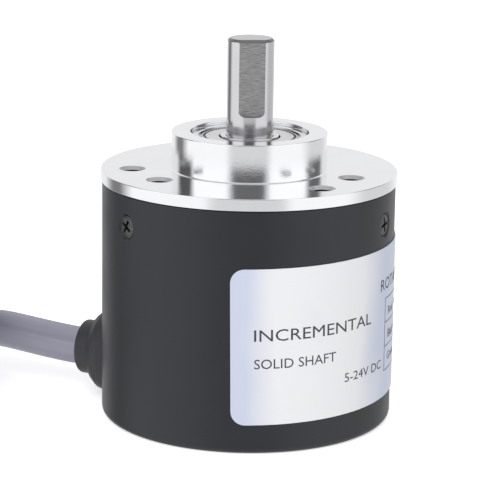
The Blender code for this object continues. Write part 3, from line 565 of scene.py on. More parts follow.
LOOKS = {
    "aluminium": turned_metal("turned_aluminium", (0.90, 0.905, 0.915), 0.08, 0.09, 0.010, 0.03),
    "ground_steel": turned_metal("ground_steel", (0.66, 0.66, 0.67), 0.15, 0.12, 0.0015),
    "bearing_steel": turned_metal("bearing_steel", (0.74, 0.745, 0.76), 0.12, 0.10, 0.001),
    "black_steel": blackened_steel(),
    "brass": turned_metal("machined_brass", (0.80, 0.60, 0.27), 0.2, 0.12, 0.003, 0.15),
    "black_plastic": plastic("matte_black_plastic", (0.0125, 0.0140, 0.0185), 0.42, 0.10, 0.003),
    "black_rubber": plastic("black_rubber", (0.028, 0.029, 0.034), 0.5, 0.25, 0.012, 0.25),
    "grey_jacket": cable_jacket(),
    "label_film": label_film(),
    "board_green": circuit_lacquer(),
    "chip_black": plastic("moulded_epoxy", (0.022, 0.022, 0.023), 0.55, 0.08, 0.005, 0.2),
    "clear_glass": clear_plastic(),
    "nylon_white": plastic("natural_nylon", (0.72, 0.71, 0.65), 0.45, 0.2, 0.006, 0.05),
}
for colour_name, colour_value in WIRE_COLOURS.items():
    LOOKS[f"wire_{colour_name}"] = plastic(f"pvc_{colour_name}", colour_value, 0.4, 0.15, 0.004, 0.08)
TINNED = turned_metal("tinned_copper", (0.78, 0.77, 0.75), 0.3, 0.2, 0.004, 0.2)
FACED = turned_metal("faced_shaft_end", (0.54, 0.54, 0.545), 0.25, 0.1, 0.003)
LINES = (1.2 * MM, 1.2 * MM, 0.09 * MM)
MILLED = ground_metal("milled_flat", (0.47, 0.47, 0.475), 0.34, LINES, 1 * MM, 0.006 * MM)
# Painted reflection: dark grey on the shaft's end chamfer, standing in for dark surroundings seen in it
CHAMFER_PAINTED_REFLECTION = turned_metal("chamfer_painted_dark_reflection", (0.24, 0.24, 0.245), 0.30, 0.1, 0.003)
# Painted shade: a darker, duller grey for the chamfered mouths of the tapped holes
MOUTH_PAINTED_SHADE = turned_metal("hole_mouth_painted_shade", (0.62, 0.625, 0.63), 0.45, 0.1, 0.003)
# Painted shade: dark grey for the thread walls and floors of the tapped holes
THREAD_PAINTED_SHADE = turned_metal("thread_painted_shade", (0.16, 0.16, 0.165), 0.40, 0.1, 0.004, 0.4)
# Painted shade: near black for the crimp groove of the bearing shields
GROOVE_PAINTED_SHADE = plastic("crimp_groove_painted_shade", (0.02, 0.02, 0.02), 0.35, 0.2, 0.004)
# Painted shade: near black for the screws' cross recesses
RECESS_PAINTED_SHADE = plastic("drive_recess_painted_shade", (0.006, 0.006, 0.007), 0.7, 0.1, 0.004)
SHIELD = turned_metal("pressed_shield", (0.70, 0.70, 0.71), 0.26, 0.16, 0.003, 0.1)


def dress_frame():
    """Gives each CAD node the procedural look of its slot."""
    for part in frame["record"]["subparts"]:
        node = frame["nodes"][part["node"]]
        node.data.materials.clear()
        coat(node, LOOKS[part["material_slot"]])


# Camera


CAMERA_PLACE = Vector((1.6244, -287.957, 92.462)) * MM
CAMERA_PITCH, CAMERA_YAW, CAMERA_ROLL = 13.601, -0.529, 0.843
CAMERA_LENS = 171.78


def make_camera():
    """The viewpoint, on the same scale as the frame; it looks down by its pitch."""
    data = bpy.data.cameras.new("camera")
    data.sensor_width = 36.0
    data.lens = CAMERA_LENS
    data.clip_start = 0.01
    camera = linked("camera", data)
    turns = ((-CAMERA_YAW, "Z"), (90 - CAMERA_PITCH, "X"), (CAMERA_ROLL, "Z"))
    matrix = Matrix.Translation(CAMERA_PLACE)
    for angle, axis in turns:
        matrix @= spun(angle, axis)
    camera.matrix_world = matrix
    bpy.context.scene.camera = camera


# The cable


def cable_exit(distance):
    return place_at(CABLE_AT, distance * MM, CABLE_HEIGHT)


def end_turn(centre_x, centre_y, radius, start, from_height, to_height):
    """Half a turn at an end of the hank, which climbs or sinks from a third to five sixths of it."""
    points = []
    steps = 20
    for i in range(steps):
        angle = start + math.pi * i / steps
        t = min(max((i / steps - 1 / 3) * 2, 0), 1)
        height = from_height + (to_height - from_height) * eased(t)
        x = centre_x + radius * math.cos(angle)
        y = centre_y + radius * math.sin(angle)
        points.append(Vector((x, y, height)))
    return points


def cable_route():
    """From the clamp inside the cover to the far end inside the hank."""
    low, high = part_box("cable_hank")
    right = high.x - LANE_OUTER - CABLE_RADIUS
    left = low.x + LANE_OUTER + CABLE_RADIUS
    heights = [low.z + CABLE_RADIUS * (1 + 2 * layer) for layer in range(LAYERS)]
    lead = [cable_exit(distance) for distance in (11.6, 16, 20, 24)]
    bends = [
        (-26.3, 9.9, 6.1),
        (-30.0, 12.3, 6.2),
        (-33.8, 15.2, 6.1),
        (-38.0, 17.8, 5.6),
        (-40.5, 18.9, 5.2),
        (-44.0, 19.6, 4.6),
        (-50.0, 20.0, 3.7),
    ]
    lead += [Vector(bend) * MM for bend in bends]
    path = smooth_path([*lead, Vector((right, LANE_OUTER, heights[0]))], 1.5 * MM)

    quarter = math.pi / 2
    top = heights[-1]
    for layer, height in enumerate(heights[:-1]):
        path += lane(right, left, LANE_OUTER, height)
        path += end_turn(left, 0, LANE_OUTER, quarter, height, height)
        path += lane(left, right, -LANE_OUTER, height)
        path += end_turn(right, 0, LANE_OUTER, -quarter, height, heights[layer + 1])
    path += lane(right, left, LANE_OUTER, top)
    crossing = (LANE_OUTER + LANE_INNER) / 2
    path += end_turn(left, LANE_OUTER - crossing, crossing, quarter, top, top)
    for layer in range(LAYERS - 1, 0, -1):
        path += lane(left, right, -LANE_INNER, heights[layer])
        path += end_turn(right, 0, LANE_INNER, -quarter, heights[layer], heights[layer - 1])
        path += lane(right, left, LANE_INNER, heights[layer - 1])
        path += end_turn(left, 0, LANE_INNER, quarter, heights[layer - 1], heights[layer - 1])

    end_low, end_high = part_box("cable_end")
    end_side = (end_low.y + end_high.y) / 2
    drift = 29 * MM
    steps = 24
    for i in range(steps + 1):
        x = left + (end_high.x - left) * i / steps
        t = min((x - left) / drift, 1)
        path.append(Vector((x, -LANE_INNER + (end_side + LANE_INNER) * eased(t), heights[0])))
    return path


def lane(start, end, side, height):
    """A straight run of the hank, without its last point."""
    steps = 14
    return [Vector((start + (end - start) * i / steps, side, height)) for i in range(steps)]


def make_cable():
    path = cable_route()
    curve = bpy.data.curves.new("cable", "CURVE")
    curve.dimensions = "3D"
    curve.bevel_depth = CABLE_RADIUS
    curve.bevel_resolution = 6
    curve.use_fill_caps = True
    spline = curve.splines.new("POLY")
    spline.points.add(len(path) - 1)
    for point, place in zip(spline.points, path):
        point.co = (*place, 1)
    spline.use_smooth = True
    cable = linked("cable", curve)
    cable.visible_glossy = False
    piece(cable, "grey_jacket", replaces=("cable_lead", "cable_hank", "cable_end"))
    return cable, path[-1]


def make_tail(colour, number, end):
    """One insulated wire out of the cable's far end, with a stripped and tinned tip."""
    radius = 0.55 * MM
    tip_radius = 0.32 * MM
    fan = number - 2
    up = 0.7 if number % 2 else -0.7
    start = end + Vector((GAP, 0.9 * fan * MM, up * MM))
    route = [
        start,
        start + Vector((5.0, 0.6 + 0.3 * fan, 0)) * MM,
        Vector((start.x + 13 * MM, start.y + (2.6 + 1.1 * fan) * MM, 3 * radius)),
        Vector((start.x + 24 * MM, start.y + (6.0 + 2.2 * fan) * MM, radius + 2 * FIT)),
    ]
    points = smooth_path(route, 1 * MM)
    tip_points = 6
    stripped = len(points) - tip_points
    name = f"tail_{colour}"
    shape = bmesh.new()
    add_tube(shape, points[: stripped + 1], [radius] * (stripped + 1), 16)
    tips = add_tube(shape, points[stripped:], [tip_radius] * (len(points) - stripped), 12)
    for face in tips:
        face.material_index = 1
    tail = object_from(f"{name}_stripped", shape)
    coat(tail, LOOKS[f"wire_{colour}"], TINNED)
    return piece(tail, f"wire_{colour}", replaces=(name,))


def make_tie():
    """A strap round the hank, with its loose end laid on top."""
    low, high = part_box("cable_tie")
    middle = (low.x + high.x) / 2
    width = (high.y - low.y) / MM
    height = (high.z - low.z) / MM
    half = (high.x - low.x) / 2
    wall = 0.38
    outer = rectangle(width, height, 1.2, 6)
    inner = rectangle(width - 2 * wall, height - 2 * wall, 0.9, 6)
    turn = Matrix.Translation((middle, 0, (low.z + high.z) / 2)) @ Matrix(
        ((0, 0, 1, 0), (1, 0, 0, 0), (0, 1, 0, 0), (0, 0, 0, 1))
    )
    shape = bmesh.new()
    loops = []
    for outline, across in ((outer, -half), (outer, half), (inner, half), (inner, -half)):
        loops.append([shape.verts.new(turn @ Vector((x, y, across))) for x, y in outline])
    for first, second in zip(loops, loops[1:] + loops[:1]):
        add_sides(shape, first, second)
    tongue_length, tongue_side = 18, 6 * MM
    tongue = rectangle(tongue_length, 2 * half / MM, 1.5)
    lay = Matrix.Translation((middle, tongue_side, high.z)) @ spun(90)
    add_slab(shape, tongue, 0.02 * MM, 0.45 * MM, lay)
    tie = object_from("strap", shape)
    bevel = tie.modifiers.new("edges", "BEVEL")
    bevel.width = 0.1 * MM
    bevel.segments = 2
    bevel.limit_method = "ANGLE"
    apply_modifiers(tie)
    tie.visible_glossy = False
    coat(tie, strap_weave())
    return piece(tie, "black_plastic", replaces=("cable_tie",))


def make_grommet():
    """Rubber grommet: bell-shaped outer flange and nub, a neck through the wall, an inner flange."""
    corners = [
        (0, 23.3, 0),
        (3.6, 23.3, 0.5),
        (3.6, 21.4, 0.15),
        (4.6, 20.95, 0.5),
        (5.35, 20.1, 0.6),
        (5.6, 19.2, 0.3),
        (5.6, 17.2, 0),
        (0, 17.2, 0),
    ]
    outer = rounded(corners, closed=False)
    inner = rounded(
        [(0, 19.2, 0), (3.85, 19.2, 0), (3.85, 17.0, 0), (4.2, 17.0, 0), (4.2, 15.6, 0.2), (0, 15.6, 0)],
        closed=False,
    )
    place = facing(CABLE_AT, 0, CABLE_HEIGHT)
    grommet = turned("grommet", outer, MID_STEPS, place)
    boolean(grommet, turned("wall", plug(COVER_RADIUS + FIT, -5 * MM, 20 * MM), BIG_STEPS))
    boolean(grommet, turned("inner_flange", inner, MID_STEPS, place), "UNION")
    bore_radius = CABLE_RADIUS + FIT
    mouth = bore_radius + 0.25 * MM
    bore = [
        (0, 30 * MM),
        (mouth, 30 * MM),
        (mouth, 23.3 * MM),
        (bore_radius, 23.0 * MM),
        (bore_radius, 10 * MM),
        (0, 10 * MM),
    ]
    boolean(grommet, turned("bore", bore, MID_STEPS, place))
    return piece(grommet, "black_rubber", replaces=("cable_grommet",))


def declare_cable():
    cable, end = make_cable()
    pieces = [make_tie(), make_grommet()]
    pieces += [make_tail(colour, number, end) for number, colour in enumerate(WIRE_COLOURS)]


# The housing, its cover and their screws


def threaded_hole(radius, mouth, depth, pitch):
    """The outline of a blind hole with a chamfered mouth and cut rings of thread, open at height 0."""
    above = 0.3 * MM
    outline = [(0, above), (mouth + above, above), (radius, radius - mouth)]
    height = radius - mouth - pitch / 2
    while height > -depth + pitch:
        outline += [(radius + 0.3 * pitch, height), (radius, height - pitch / 2)]
        height -= pitch
    return [*outline, (radius, -depth), (0, -depth - radius / 2)]


def make_housing():
    """Flange, centring boss, spigot and bearing tube, turned from one bar."""
    seat = (BEARING_OUTER + FIT) / MM
    shoulder = (OUTER_SHOULDER + FIT) / MM
    boss, boss_top = BOSS_RADIUS / MM, BOSS_TOP / MM
    flange, flange_top = FLANGE_RADIUS / MM, FLANGE_TOP / MM
    rim_bottom = flange_top - FLANGE_RIM / MM
    spigot, spigot_bottom = SPIGOT_RADIUS / MM, SPIGOT_BOTTOM / MM
    tube_bottom = TUBE_BOTTOM / MM
    tube = BEARING_OUTER / MM + 2
    rear_stop = (REAR_BEARING + BEARING_WIDTH + 2 * GAP) / MM
    front_stop = (FRONT_BEARING - FIT) / MM
    corners = [
        (seat, boss_top, 0.18),
        (boss, boss_top, 0.12),
        (boss, flange_top, 0.18),
        (flange, flange_top, 0.10),
        (flange, rim_bottom, 0.08),
        (spigot, rim_bottom, 0.10),
        (spigot, spigot_bottom, 0.20),
        (tube, spigot_bottom, 0.30),
        (tube, tube_bottom, 0.20),
        (seat, tube_bottom, 0.10),
        (seat, rear_stop, 0.0),
        (shoulder, rear_stop, 0.05),
        (shoulder, front_stop, 0.05),
        (seat, front_stop, 0.0),
    ]
    profile = rounded(corners)
    housing = turned("housing", profile, BIG_STEPS)
    holes = bmesh.new()
    tapped = threaded_hole(TAP_RADIUS, TAP_MOUTH, TAP_DEPTH, TAP_PITCH)
    side = plug(1.0 * MM, 0, 5 * MM)
    stud = plug(1.05 * MM, -MM, 2.8 * MM)
    screw = plug(0.8 * MM, -MM, 2.5 * MM)
    for turn in THREE:
        add_turned(holes, tapped, SMALL_STEPS, upright(INNER_HOLES_AT + turn, INNER_CIRCLE, FLANGE_TOP))
        add_turned(holes, tapped, SMALL_STEPS, upright(OUTER_HOLES_AT + turn, OUTER_CIRCLE, FLANGE_TOP))
        side_place = facing(COVER_SCREWS_AT + turn, SPIGOT_RADIUS - 4.5 * MM, SCREW_HEIGHT)
        add_turned(holes, side, FEW_STEPS, side_place)
        add_turned(holes, stud, FEW_STEPS, upright(OUTER_HOLES_AT + turn, STANDOFFS, SPIGOT_BOTTOM))
    add_turned(holes, screw, FEW_STEPS, upright(LED_AT, LED_SCREW_RADIUS, SPIGOT_BOTTOM))
    boolean(housing, object_from("holes", holes))
    coat(housing, LOOKS["aluminium"])
    holes_inner, holes_outer = 11.5 * MM, 17.2 * MM
    bottom, mouth, skin = (FLANGE_TOP - depth * MM for depth in (5, 0.45, 0.02))

    def among_holes(centre, low, high):
        return low < centre.z < high and holes_inner < centre.xy.length < holes_outer

    # Painted shade: the tapped holes' threads are coloured dark grey
    paint(housing, THREAD_PAINTED_SHADE, lambda centre, way: among_holes(centre, bottom, mouth))
    # Painted shade: the hole mouths' chamfers are coloured darker grey than the flange
    paint(housing, MOUTH_PAINTED_SHADE, lambda centre, way: among_holes(centre, mouth, skin))
    piece(housing, "aluminium", replaces=("flange_housing",))


def make_cover():
    """The black cup, with countersunk screw holes and the cable hole."""
    inside = (COVER_RADIUS - COVER_WALL) / MM
    outside = COVER_RADIUS / MM
    top = (FLANGE_TOP - FLANGE_RIM - 2 * FIT) / MM
    floor = COVER_FLOOR / MM
    corners = [
        (0, floor, 0),
        (inside, floor, 0.8),
        (inside, top, 0.1),
        (outside, top, 0.12),
        (outside, 0, 0.9),
        (0, 0, 0),
    ]
    profile = rounded(corners, closed=False, segments=8)
    cover = turned("cover", profile, BIG_STEPS)
    holes = bmesh.new()
    head = [(2.1, 0.4, 0), (1.72, 0.0, 0.05), (1.15, -0.55, 0), (1.15, -3, 0), (0, -3, 0)]
    countersink = rounded([(0, 0.4, 0), *head], closed=False)
    for turn in THREE:
        place = facing(COVER_SCREWS_AT + turn, COVER_RADIUS, SCREW_HEIGHT)
        add_turned(holes, countersink, SMALL_STEPS, place)
    cable_hole = plug(3.95 * MM, -4 * MM, 4 * MM)
    add_turned(holes, cable_hole, SMALL_STEPS, facing(CABLE_AT, COVER_RADIUS, CABLE_HEIGHT))
    boolean(cover, object_from("holes", holes))
    piece(cover, "black_plastic", replaces=("rear_cover",))


def slot_cutter(width, depth, matrix, turn):
    """One bar of a Phillips recess, tapered towards its middle, open at height 0."""
    shape = bmesh.new()
    spin = spun(turn)
    half = width * 0.11
    above = 0.2 * MM
    levels = ((width / 2, half, above), (width / 2, half, 0), (width / 5, half * 0.7, -depth))
    rings = []
    for reach, side, height in levels:
        corners = ((reach, side), (-reach, side), (-reach, -side), (reach, -side))
        rings.append([shape.verts.new(matrix @ spin @ Vector((x, y, height))) for x, y in corners])
    for first, second in zip(rings, rings[1:]):
        add_sides(shape, first, second)
    shape.faces.new(rings[0])
    shape.faces.new(rings[-1][::-1])
    return object_from("recess", shape)


def make_cover_screws():
    """Flat-head screws with a slight dome, each turned to its own angle."""
    profile = rounded(
        [(0, 0.06, 0), (1.0, 0.04, 0.4), (1.5, -0.06, 0.08), (1.02, -0.55, 0), (0.95, -5.2, 0), (0, -5.5, 0)],
        closed=False,
    )
    for number, (turn, drive) in enumerate(zip(THREE, (62, 8, 31)), 1):
        place = facing(COVER_SCREWS_AT + turn, COVER_RADIUS - 0.15 * MM, SCREW_HEIGHT)
        screw = turned(f"flat_head_screw_{number}", profile, SMALL_STEPS, place)
        for spin in (0, 90):
            boolean(screw, slot_cutter(1.9 * MM, 0.55 * MM, place, drive + spin))
        depth = COVER_RADIUS - 0.28 * MM
        axis = outward(COVER_SCREWS_AT + turn)
        coat(screw, LOOKS["black_steel"])
        # Painted shade: the faces of the cross recess are coloured near black
        paint(screw, RECESS_PAINTED_SHADE, lambda centre, way: centre.dot(axis) < depth)
        piece(screw, "black_steel", replaces=(f"cover_screw_{number}",))


# Shaft and bearings


def make_shaft():
    """Ground steel, with a milled flat at the free end and a circlip groove."""
    radius, top, bottom = SHAFT_RADIUS / MM, SHAFT_TOP / MM, SHAFT_BOTTOM / MM
    clip = CIRCLIP_HEIGHT / MM
    corners = [
        (0, top, 0),
        (radius - 0.32, top, 0.08),
        (radius, top - 0.32, 0.08),
        (radius, clip + 0.7, 0.03),
        (radius - 0.3, clip + 0.7, 0),
        (radius - 0.3, clip - 0.05, 0),
        (radius, clip - 0.05, 0.03),
        (radius, bottom + 0.35, 0.08),
        (radius - 0.35, bottom, 0.08),
        (0, bottom, 0),
    ]
    profile = rounded(corners, closed=False)
    shaft = turned("steel_shaft", profile, MID_STEPS)
    mill = bmesh.new()
    outline = rectangle(3.5, 2 * FLAT_LENGTH / MM, 0.9, 8)
    add_slab(mill, outline, 0, 2 * MM, facing(FLAT_AT, FLAT_DISTANCE, SHAFT_TOP))
    boolean(shaft, object_from("mill", mill))
    chamfer, size = 0.4 * MM, 2 * MM
    corner = rectangle(size / MM, size / MM, 0)
    reach = size / 2 * math.sqrt(0.5) - chamfer / 2
    place = upright(FLAT_AT, FLAT_DISTANCE + reach, SHAFT_TOP + reach)
    across = spun(90, "Y") @ spun(45)
    edge = bmesh.new()
    add_slab(edge, corner, -SHAFT_RADIUS, SHAFT_RADIUS, place @ across)
    boolean(shaft, object_from("edge_mill", edge))
    normal = outward(FLAT_AT)
    flat_end = SHAFT_TOP - FLAT_LENGTH - 0.4 * MM
    facing_same = 0.9999
    coat(shaft, LOOKS["ground_steel"])
    paint(shaft, MILLED, lambda centre, way: way.dot(normal) > facing_same and centre.z > flat_end)
    paint(shaft, FACED, lambda centre, way: way.z > facing_same and centre.z > SHAFT_TOP - FIT)
    # Painted reflection: the end chamfer is coloured dark grey
    paint(shaft, CHAMFER_PAINTED_REFLECTION, lambda centre, way: 0.4 < way.z < 0.99 and centre.z > SHAFT_TOP - chamfer)
    piece(shaft, "ground_steel", "rotor", replaces=("shaft",), angle=20)


def make_rings(place, low, high, middle):
    """The two rings of a bearing, with rounded edges, a ball groove and steps for the shields."""
    race = BALL_RADIUS + 2 * FIT
    outer, shoulder = BEARING_OUTER / MM, OUTER_SHOULDER / MM
    inner, inner_shoulder = BEARING_INNER / MM, INNER_SHOULDER / MM
    land = inner_shoulder - 0.25
    step = 0.5
    reach = BALL_PITCH / MM + race / MM * 0.6

    groove = [(r / MM, z / MM, 0) for r, z in arc(BALL_PITCH, middle, race, -53, 53, 13)]
    corners = [
        (shoulder, high, 0.1),
        (outer, high, 0.3),
        (outer, low, 0.3),
        (shoulder, low, 0.1),
        (shoulder, low + step, 0),
        (reach, low + step, 0.05),
        *groove,
        (reach, high - step, 0.05),
        (shoulder, high - step, 0),
    ]
    ring = turned(f"{place}_outer_race", rounded(corners), MID_STEPS)
    piece(ring, "bearing_steel", replaces=(f"{place}_bearing_outer_ring",))

    groove = [(r / MM, z / MM, 0) for r, z in arc(BALL_PITCH, middle, race, 146, 214, 13)]
    corners = [
        (inner, high, 0.2),
        (land, high, 0.08),
        (land, high - step, 0),
        (inner_shoulder, high - step, 0.05),
        *groove,
        (inner_shoulder, low + step, 0.05),
        (land, low + step, 0),
        (land, low, 0.08),
        (inner, low, 0.2),
    ]
    ring = turned(f"{place}_inner_race", rounded(corners), MID_STEPS)
    piece(ring, "bearing_steel", "rotor", replaces=(f"{place}_bearing_inner_ring",))


def make_shield(place, low, high):
    """A pressed plate, with painted shade: the groove where it is crimped into the outer ring is coloured
    near black.
    """
    base = high - 0.35 if place == "front" else low + 0.15
    skin = base + 0.2
    inner, outer = INNER_SHOULDER / MM - 0.05, OUTER_SHOULDER / MM - 0.3
    corners = [
        (inner, skin - 0.04, 0.04),
        (inner + 0.25, skin, 0.1),
        (outer - 0.55, skin, 0.03),
        (outer - 0.45, skin - 0.14, 0),
        (outer - 0.28, skin - 0.14, 0),
        (outer - 0.20, skin, 0.03),
        (outer, skin, 0.06),
        (outer, base, 0),
        (inner, base, 0),
    ]
    shield = turned(f"{place}_pressed_shield", rounded(corners), MID_STEPS)
    coat(shield, SHIELD)
    groove_inner, groove_outer = (outer - 0.56) * MM, (outer - 0.19) * MM
    below_skin = (skin - 0.02) * MM

    def in_groove(centre, way):
        aside = groove_inner < centre.xy.length < groove_outer
        return aside and way.z > -0.5 and centre.z < below_skin

    # Painted shade: the crimp groove's faces are coloured near black
    paint(shield, GROOVE_PAINTED_SHADE, in_groove)
    piece(shield, "bearing_steel", replaces=(f"{place}_bearing_shield",))


def add_ball(shape, radius, centre):
    steps = 32
    outline = arc(0, 0, radius, -90, 90, steps // 2 + 1)
    outline[0], outline[-1] = (0, -radius), (0, radius)
    add_turned(shape, outline, steps, Matrix.Translation(centre))


def make_cage(place, middle):
    """A brass band between the rings, with a ball in each pocket."""
    half, inner, outer = 0.9 * MM, 4.78 * MM, 5.72 * MM
    above, below = middle + half, middle - half
    band = [(inner, above), (outer, above), (outer, below), (inner, below)]
    cage = turned(f"{place}_ball_cage", band, MID_STEPS)
    turns = [360 * number / BALL_COUNT for number in range(BALL_COUNT)]
    centres = [place_at(turn, BALL_PITCH, middle) for turn in turns]
    pockets = bmesh.new()
    for centre in centres:
        add_ball(pockets, BALL_RADIUS + 0.02 * MM, centre)
    boolean(cage, object_from("pockets", pockets))
    coat(cage, LOOKS["brass"], LOOKS["bearing_steel"])
    joined = bmesh.new()
    joined.from_mesh(cage.data)
    band_faces = len(joined.faces)
    for centre in centres:
        add_ball(joined, BALL_RADIUS, centre)
    joined.faces.ensure_lookup_table()
    for face in joined.faces[band_faces:]:
        face.material_index = 1
    joined.to_mesh(cage.data)
    joined.free()
    piece(cage, "brass", f"{place}_cage", replaces=(f"{place}_bearing_cage",), angle=40)


def make_bearing(place, bottom):
    low, high = bottom / MM, (bottom + BEARING_WIDTH) / MM
    middle = bottom + BEARING_WIDTH / 2
    make_rings(place, low, high, middle)
    make_shield(place, low, high)
    make_cage(place, middle)


# The label and its print


LABEL_WIDTH, LABEL_HEIGHT, LABEL_CORNER = 50.0, 19.8, 1.75
LABEL_LEFT = -1.85
LABEL_MIDDLE = 14.15
LABEL_TILT = math.radians(0.9)
LABEL_SKIN = COVER_RADIUS + FIT + 0.12 * MM
INK_BOTTOM, INK_TOP = LABEL_SKIN + 0.004 * MM, LABEL_SKIN + 0.014 * MM
CAPITAL = 0.73  # a capital's height in the built-in typeface at size 1


def wrap(along, up, radius):
    """A point of the label's plane, from its own centre, bent round the cover; millimetres in."""
    x = LABEL_LEFT + LABEL_WIDTH / 2 + along * math.cos(LABEL_TILT) - up * math.sin(LABEL_TILT)
    z = LABEL_MIDDLE + along * math.sin(LABEL_TILT) + up * math.cos(LABEL_TILT)
    angle = x * MM / COVER_RADIUS
    return Vector((radius * math.sin(angle), -radius * math.cos(angle), z * MM))


def wrap_mesh(shape, inner, outer, strip=0.5):
    """Thickens a flat outline in the label's plane (millimetres) and bends it round the cover."""
    xs = [vertex.co.x for vertex in shape.verts]
    low, high = min(xs), max(xs)
    count = math.ceil((high - low) / strip)
    for number in range(1, count):
        x = low + (high - low) * number / count
        geometry = shape.verts[:] + shape.edges[:] + shape.faces[:]
        bmesh.ops.bisect_plane(shape, geom=geometry, plane_co=(x, 0, 0), plane_no=(1, 0, 0))
    for vertex in shape.verts:
        vertex.co.z = 0
    raised = bmesh.ops.extrude_face_region(shape, geom=shape.faces[:])
    top = {item for item in raised["geom"] if isinstance(item, bmesh.types.BMVert)}
    for vertex in shape.verts:
        radius = outer if vertex in top else inner
        vertex.co = wrap(vertex.co.x, vertex.co.y, radius)


def make_label():
    shape = bmesh.new()
    outline = rectangle(LABEL_WIDTH, LABEL_HEIGHT, LABEL_CORNER, 10)
    shape.faces.new([shape.verts.new((x / MM, y / MM, 0)) for x, y in outline])
    wrap_mesh(shape, COVER_RADIUS + FIT, LABEL_SKIN)
    label = object_from("film_label", shape)
    piece(label, "label_film", replaces=("label",), angle=25)


def text_outline(words, cap_height, width):
    """The mesh of a line of type, its lower left corner at the origin, in millimetres."""
    curve = bpy.data.curves.new("type", "FONT")
    curve.body = words
    curve.resolution_u = 3
    holder = linked("type", curve)
    mesh = evaluated_mesh(holder)
    bpy.data.objects.remove(holder, do_unlink=True)
    shape = bmesh.new()
    shape.from_mesh(mesh)
    bmesh.ops.remove_doubles(shape, verts=shape.verts, dist=0.0001)
    xs = [vertex.co.x for vertex in shape.verts]
    tall = cap_height / CAPITAL
    wide = width / (max(xs) - min(xs)) if width else tall
    for vertex in shape.verts:
        vertex.co = ((vertex.co.x - min(xs)) * wide, vertex.co.y * tall, 0)
    return shape


def make_print():
    """Generic words and rules on the label: position along the cover and height, in millimetres."""
    ink = bmesh.new()
    lines = (
        ("INCREMENTAL", 1.05, 14.62, 1.55, 17.2),
        ("SOLID SHAFT", 1.05, 11.12, 1.28, 10.8),
        ("5-24V DC", 13.3, 8.25, 1.2, 7.8),
        ("ROTARY ENCODER", 20.7, 18.45, 1.58, 20.6),
        ("Red  V+", 23.5, 14.9, 1.15, None),
        ("Black  0V", 23.5, 11.8, 1.15, None),
        ("Green  A", 23.5, 8.8, 1.15, None),
        ("White  B", 35.5, 14.9, 1.15, None),
        ("Yellow  Z", 35.5, 11.8, 1.15, None),
    )
    centre = LABEL_LEFT + LABEL_WIDTH / 2
    for words, along, height, cap_height, width in lines:
        shape = text_outline(words, cap_height, width)
        for vertex in shape.verts:
            vertex.co.x += along - centre
            vertex.co.y += height - LABEL_MIDDLE - (along - centre) * math.tan(LABEL_TILT)
        add_wrapped(ink, shape)
    table_left, table_bottom, table_width, table_height, row = 22.2, 7.6, 24.6, 9.6, 3.2
    column, line = table_width / 2, 0.12
    rules = [(table_left + column * number, table_bottom, line, table_height) for number in range(3)]
    rules += [(table_left, table_bottom + row * number, table_width + line, line) for number in range(4)]
    for along, height, width, tall in rules:
        shape = bmesh.new()
        x = along - centre
        y = height - LABEL_MIDDLE - x * math.tan(LABEL_TILT)
        corners = ((x, y), (x + width, y), (x + width, y + tall), (x, y + tall))
        shape.faces.new([shape.verts.new((*corner, 0)) for corner in corners])
        add_wrapped(ink, shape)
    label_print = object_from("label_print", ink)
    coat(label_print, printed_ink())
    piece(label_print, "black_plastic")


def add_wrapped(target, shape):
    """Bends one flat piece of print onto the label and adds it to the ink's mesh."""
    wrap_mesh(shape, INK_BOTTOM, INK_TOP, 1.0)
    mesh = bpy.data.meshes.new("print")
    shape.to_mesh(mesh)
    shape.free()
    target.from_mesh(mesh)
    bpy.data.meshes.remove(mesh)


# Floor and light


def make_stage():
    """A plain pale floor."""
    disc = [(radius, -0.02 * MM) for radius in (0, 0.2, 0.6, 3.0)]
    floor = turned("floor", disc, SMALL_STEPS)
    look = Look("pale_floor", 0.9, 0.0, Specular_IOR_Level=0.1, Emission_Strength=0.55)
    clouds = look.noise(0.25, 2.0)
    white = look.colours(clouds, (0.3, (0.90, 0.90, 0.905)), (0.7, (0.93, 0.93, 0.93)))
    look.set("Base Color", white)
    look.set("Emission Color", white)
    coat(floor, look.material)
    floor.visible_glossy = False
    floor.visible_diffuse = False


def room(back, side, *gaps):
    """Ramp stops round the horizon, from the back by the left to the back again.

    The gaps are on the left, in front and on the right. A gap is (its first azimuth, its last, how soft
    its edges are, its brightness).
    """
    stops = [(-180, back)]
    beside = [back, side, side, back]
    for (start, end, soft, level), before, after in zip(gaps, beside, beside[1:]):
        stops += [(start - soft, before), (start + soft, level), (end - soft, level), (end + soft, after)]
    return [*stops, (180, back)]


def world_ramp(tree, source, stops):
    """Brightness by azimuth: stops are (degrees, brightness), 0 at the viewer's side."""
    greys = [(degrees / 360 + 0.5, (level, level, level * 1.01)) for degrees, level in stops]
    return add_ramp(tree, source, greys)


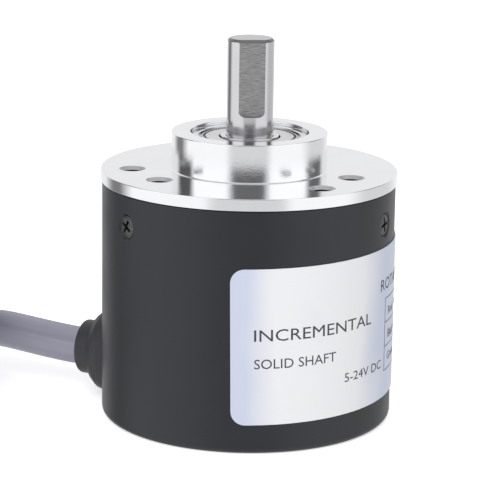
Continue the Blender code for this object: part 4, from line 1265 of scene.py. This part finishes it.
def make_light():
    """A white room with dark gaps at its sides and in front, fainter below the horizon, and one lamp."""
    world = bpy.data.worlds.new("studio")
    bpy.context.scene.world = world
    world.use_nodes = True
    tree = world.node_tree
    node = functools.partial(add_node, tree)
    direction = node("TexCoord").outputs["Generated"]
    split = node("SeparateXYZ", {0: direction}).outputs
    back = node("Math", {0: split[1]}, {1: -1.0}, operation="MULTIPLY").outputs[0]
    angle = node("Math", {0: split[0], 1: back}, operation="ARCTAN2").outputs[0]
    turn = node("Math", {0: angle}, {1: 1 / math.tau, 2: 0.5}, operation="MULTIPLY_ADD").outputs[0]
    above = room(0.88, 1.2, (-127, -92, 5, 0.10), (-27, 27, 5, 0.15), (96, 132, 5, 0.15))
    below = room(0.92, 1.05, (-138, -109, 8, 0.22), (-30, 30, 4, 0.73), (92, 146, 10, 0.72))
    upper = world_ramp(tree, turn, above)
    lower = world_ramp(tree, turn, below)
    horizon = {"From Min": -0.06, "From Max": 0.06}
    rise = node("MapRange", {"Value": split[2]}, horizon).outputs["Result"]
    zenith = {"From Min": 0.55, "From Max": 0.85}
    overhead = node("MapRange", {"Value": split[2]}, zenith).outputs["Result"]
    grey, white = (0.72, 0.72, 0.73, 1.0), (1.0, 1.0, 1.0, 1.0)
    seen = node("LightPath").outputs["Is Camera Ray"]
    sides = node("Mix", {0: rise, 6: lower, 7: upper}, data_type="RGBA").outputs[2]
    dome = node("Mix", {0: overhead, 6: sides}, {7: grey}, data_type="RGBA").outputs[2]
    shown = node("Mix", {0: seen, 6: dome}, {7: white}, data_type="RGBA").outputs[2]
    background = tree.nodes["Background"]
    tree.links.new(shown, background.inputs["Color"])
    background.inputs["Strength"].default_value = 1.0

    lamp = bpy.data.lights.new("overhead_softbox", "AREA")
    lamp.shape = "DISK"
    lamp.size = 0.5
    lamp.energy = 2.4
    softbox = linked("overhead_softbox", lamp)
    softbox.location = (-0.10, -0.50, 0.45)
    softbox.visible_glossy = False
    aim = Vector((0, 0, 0.02)) - softbox.location
    softbox.rotation_mode = "QUATERNION"
    softbox.rotation_quaternion = aim.to_track_quat("-Z", "Y")


bpy.context.scene.view_settings.view_transform = "Standard"
make_camera()
dress_frame()
declare_cable()
make_housing()
make_cover()
make_cover_screws()
make_shaft()
make_bearing("front", FRONT_BEARING)
make_bearing("rear", REAR_BEARING)
make_label()
make_print()
make_stage()
make_light()
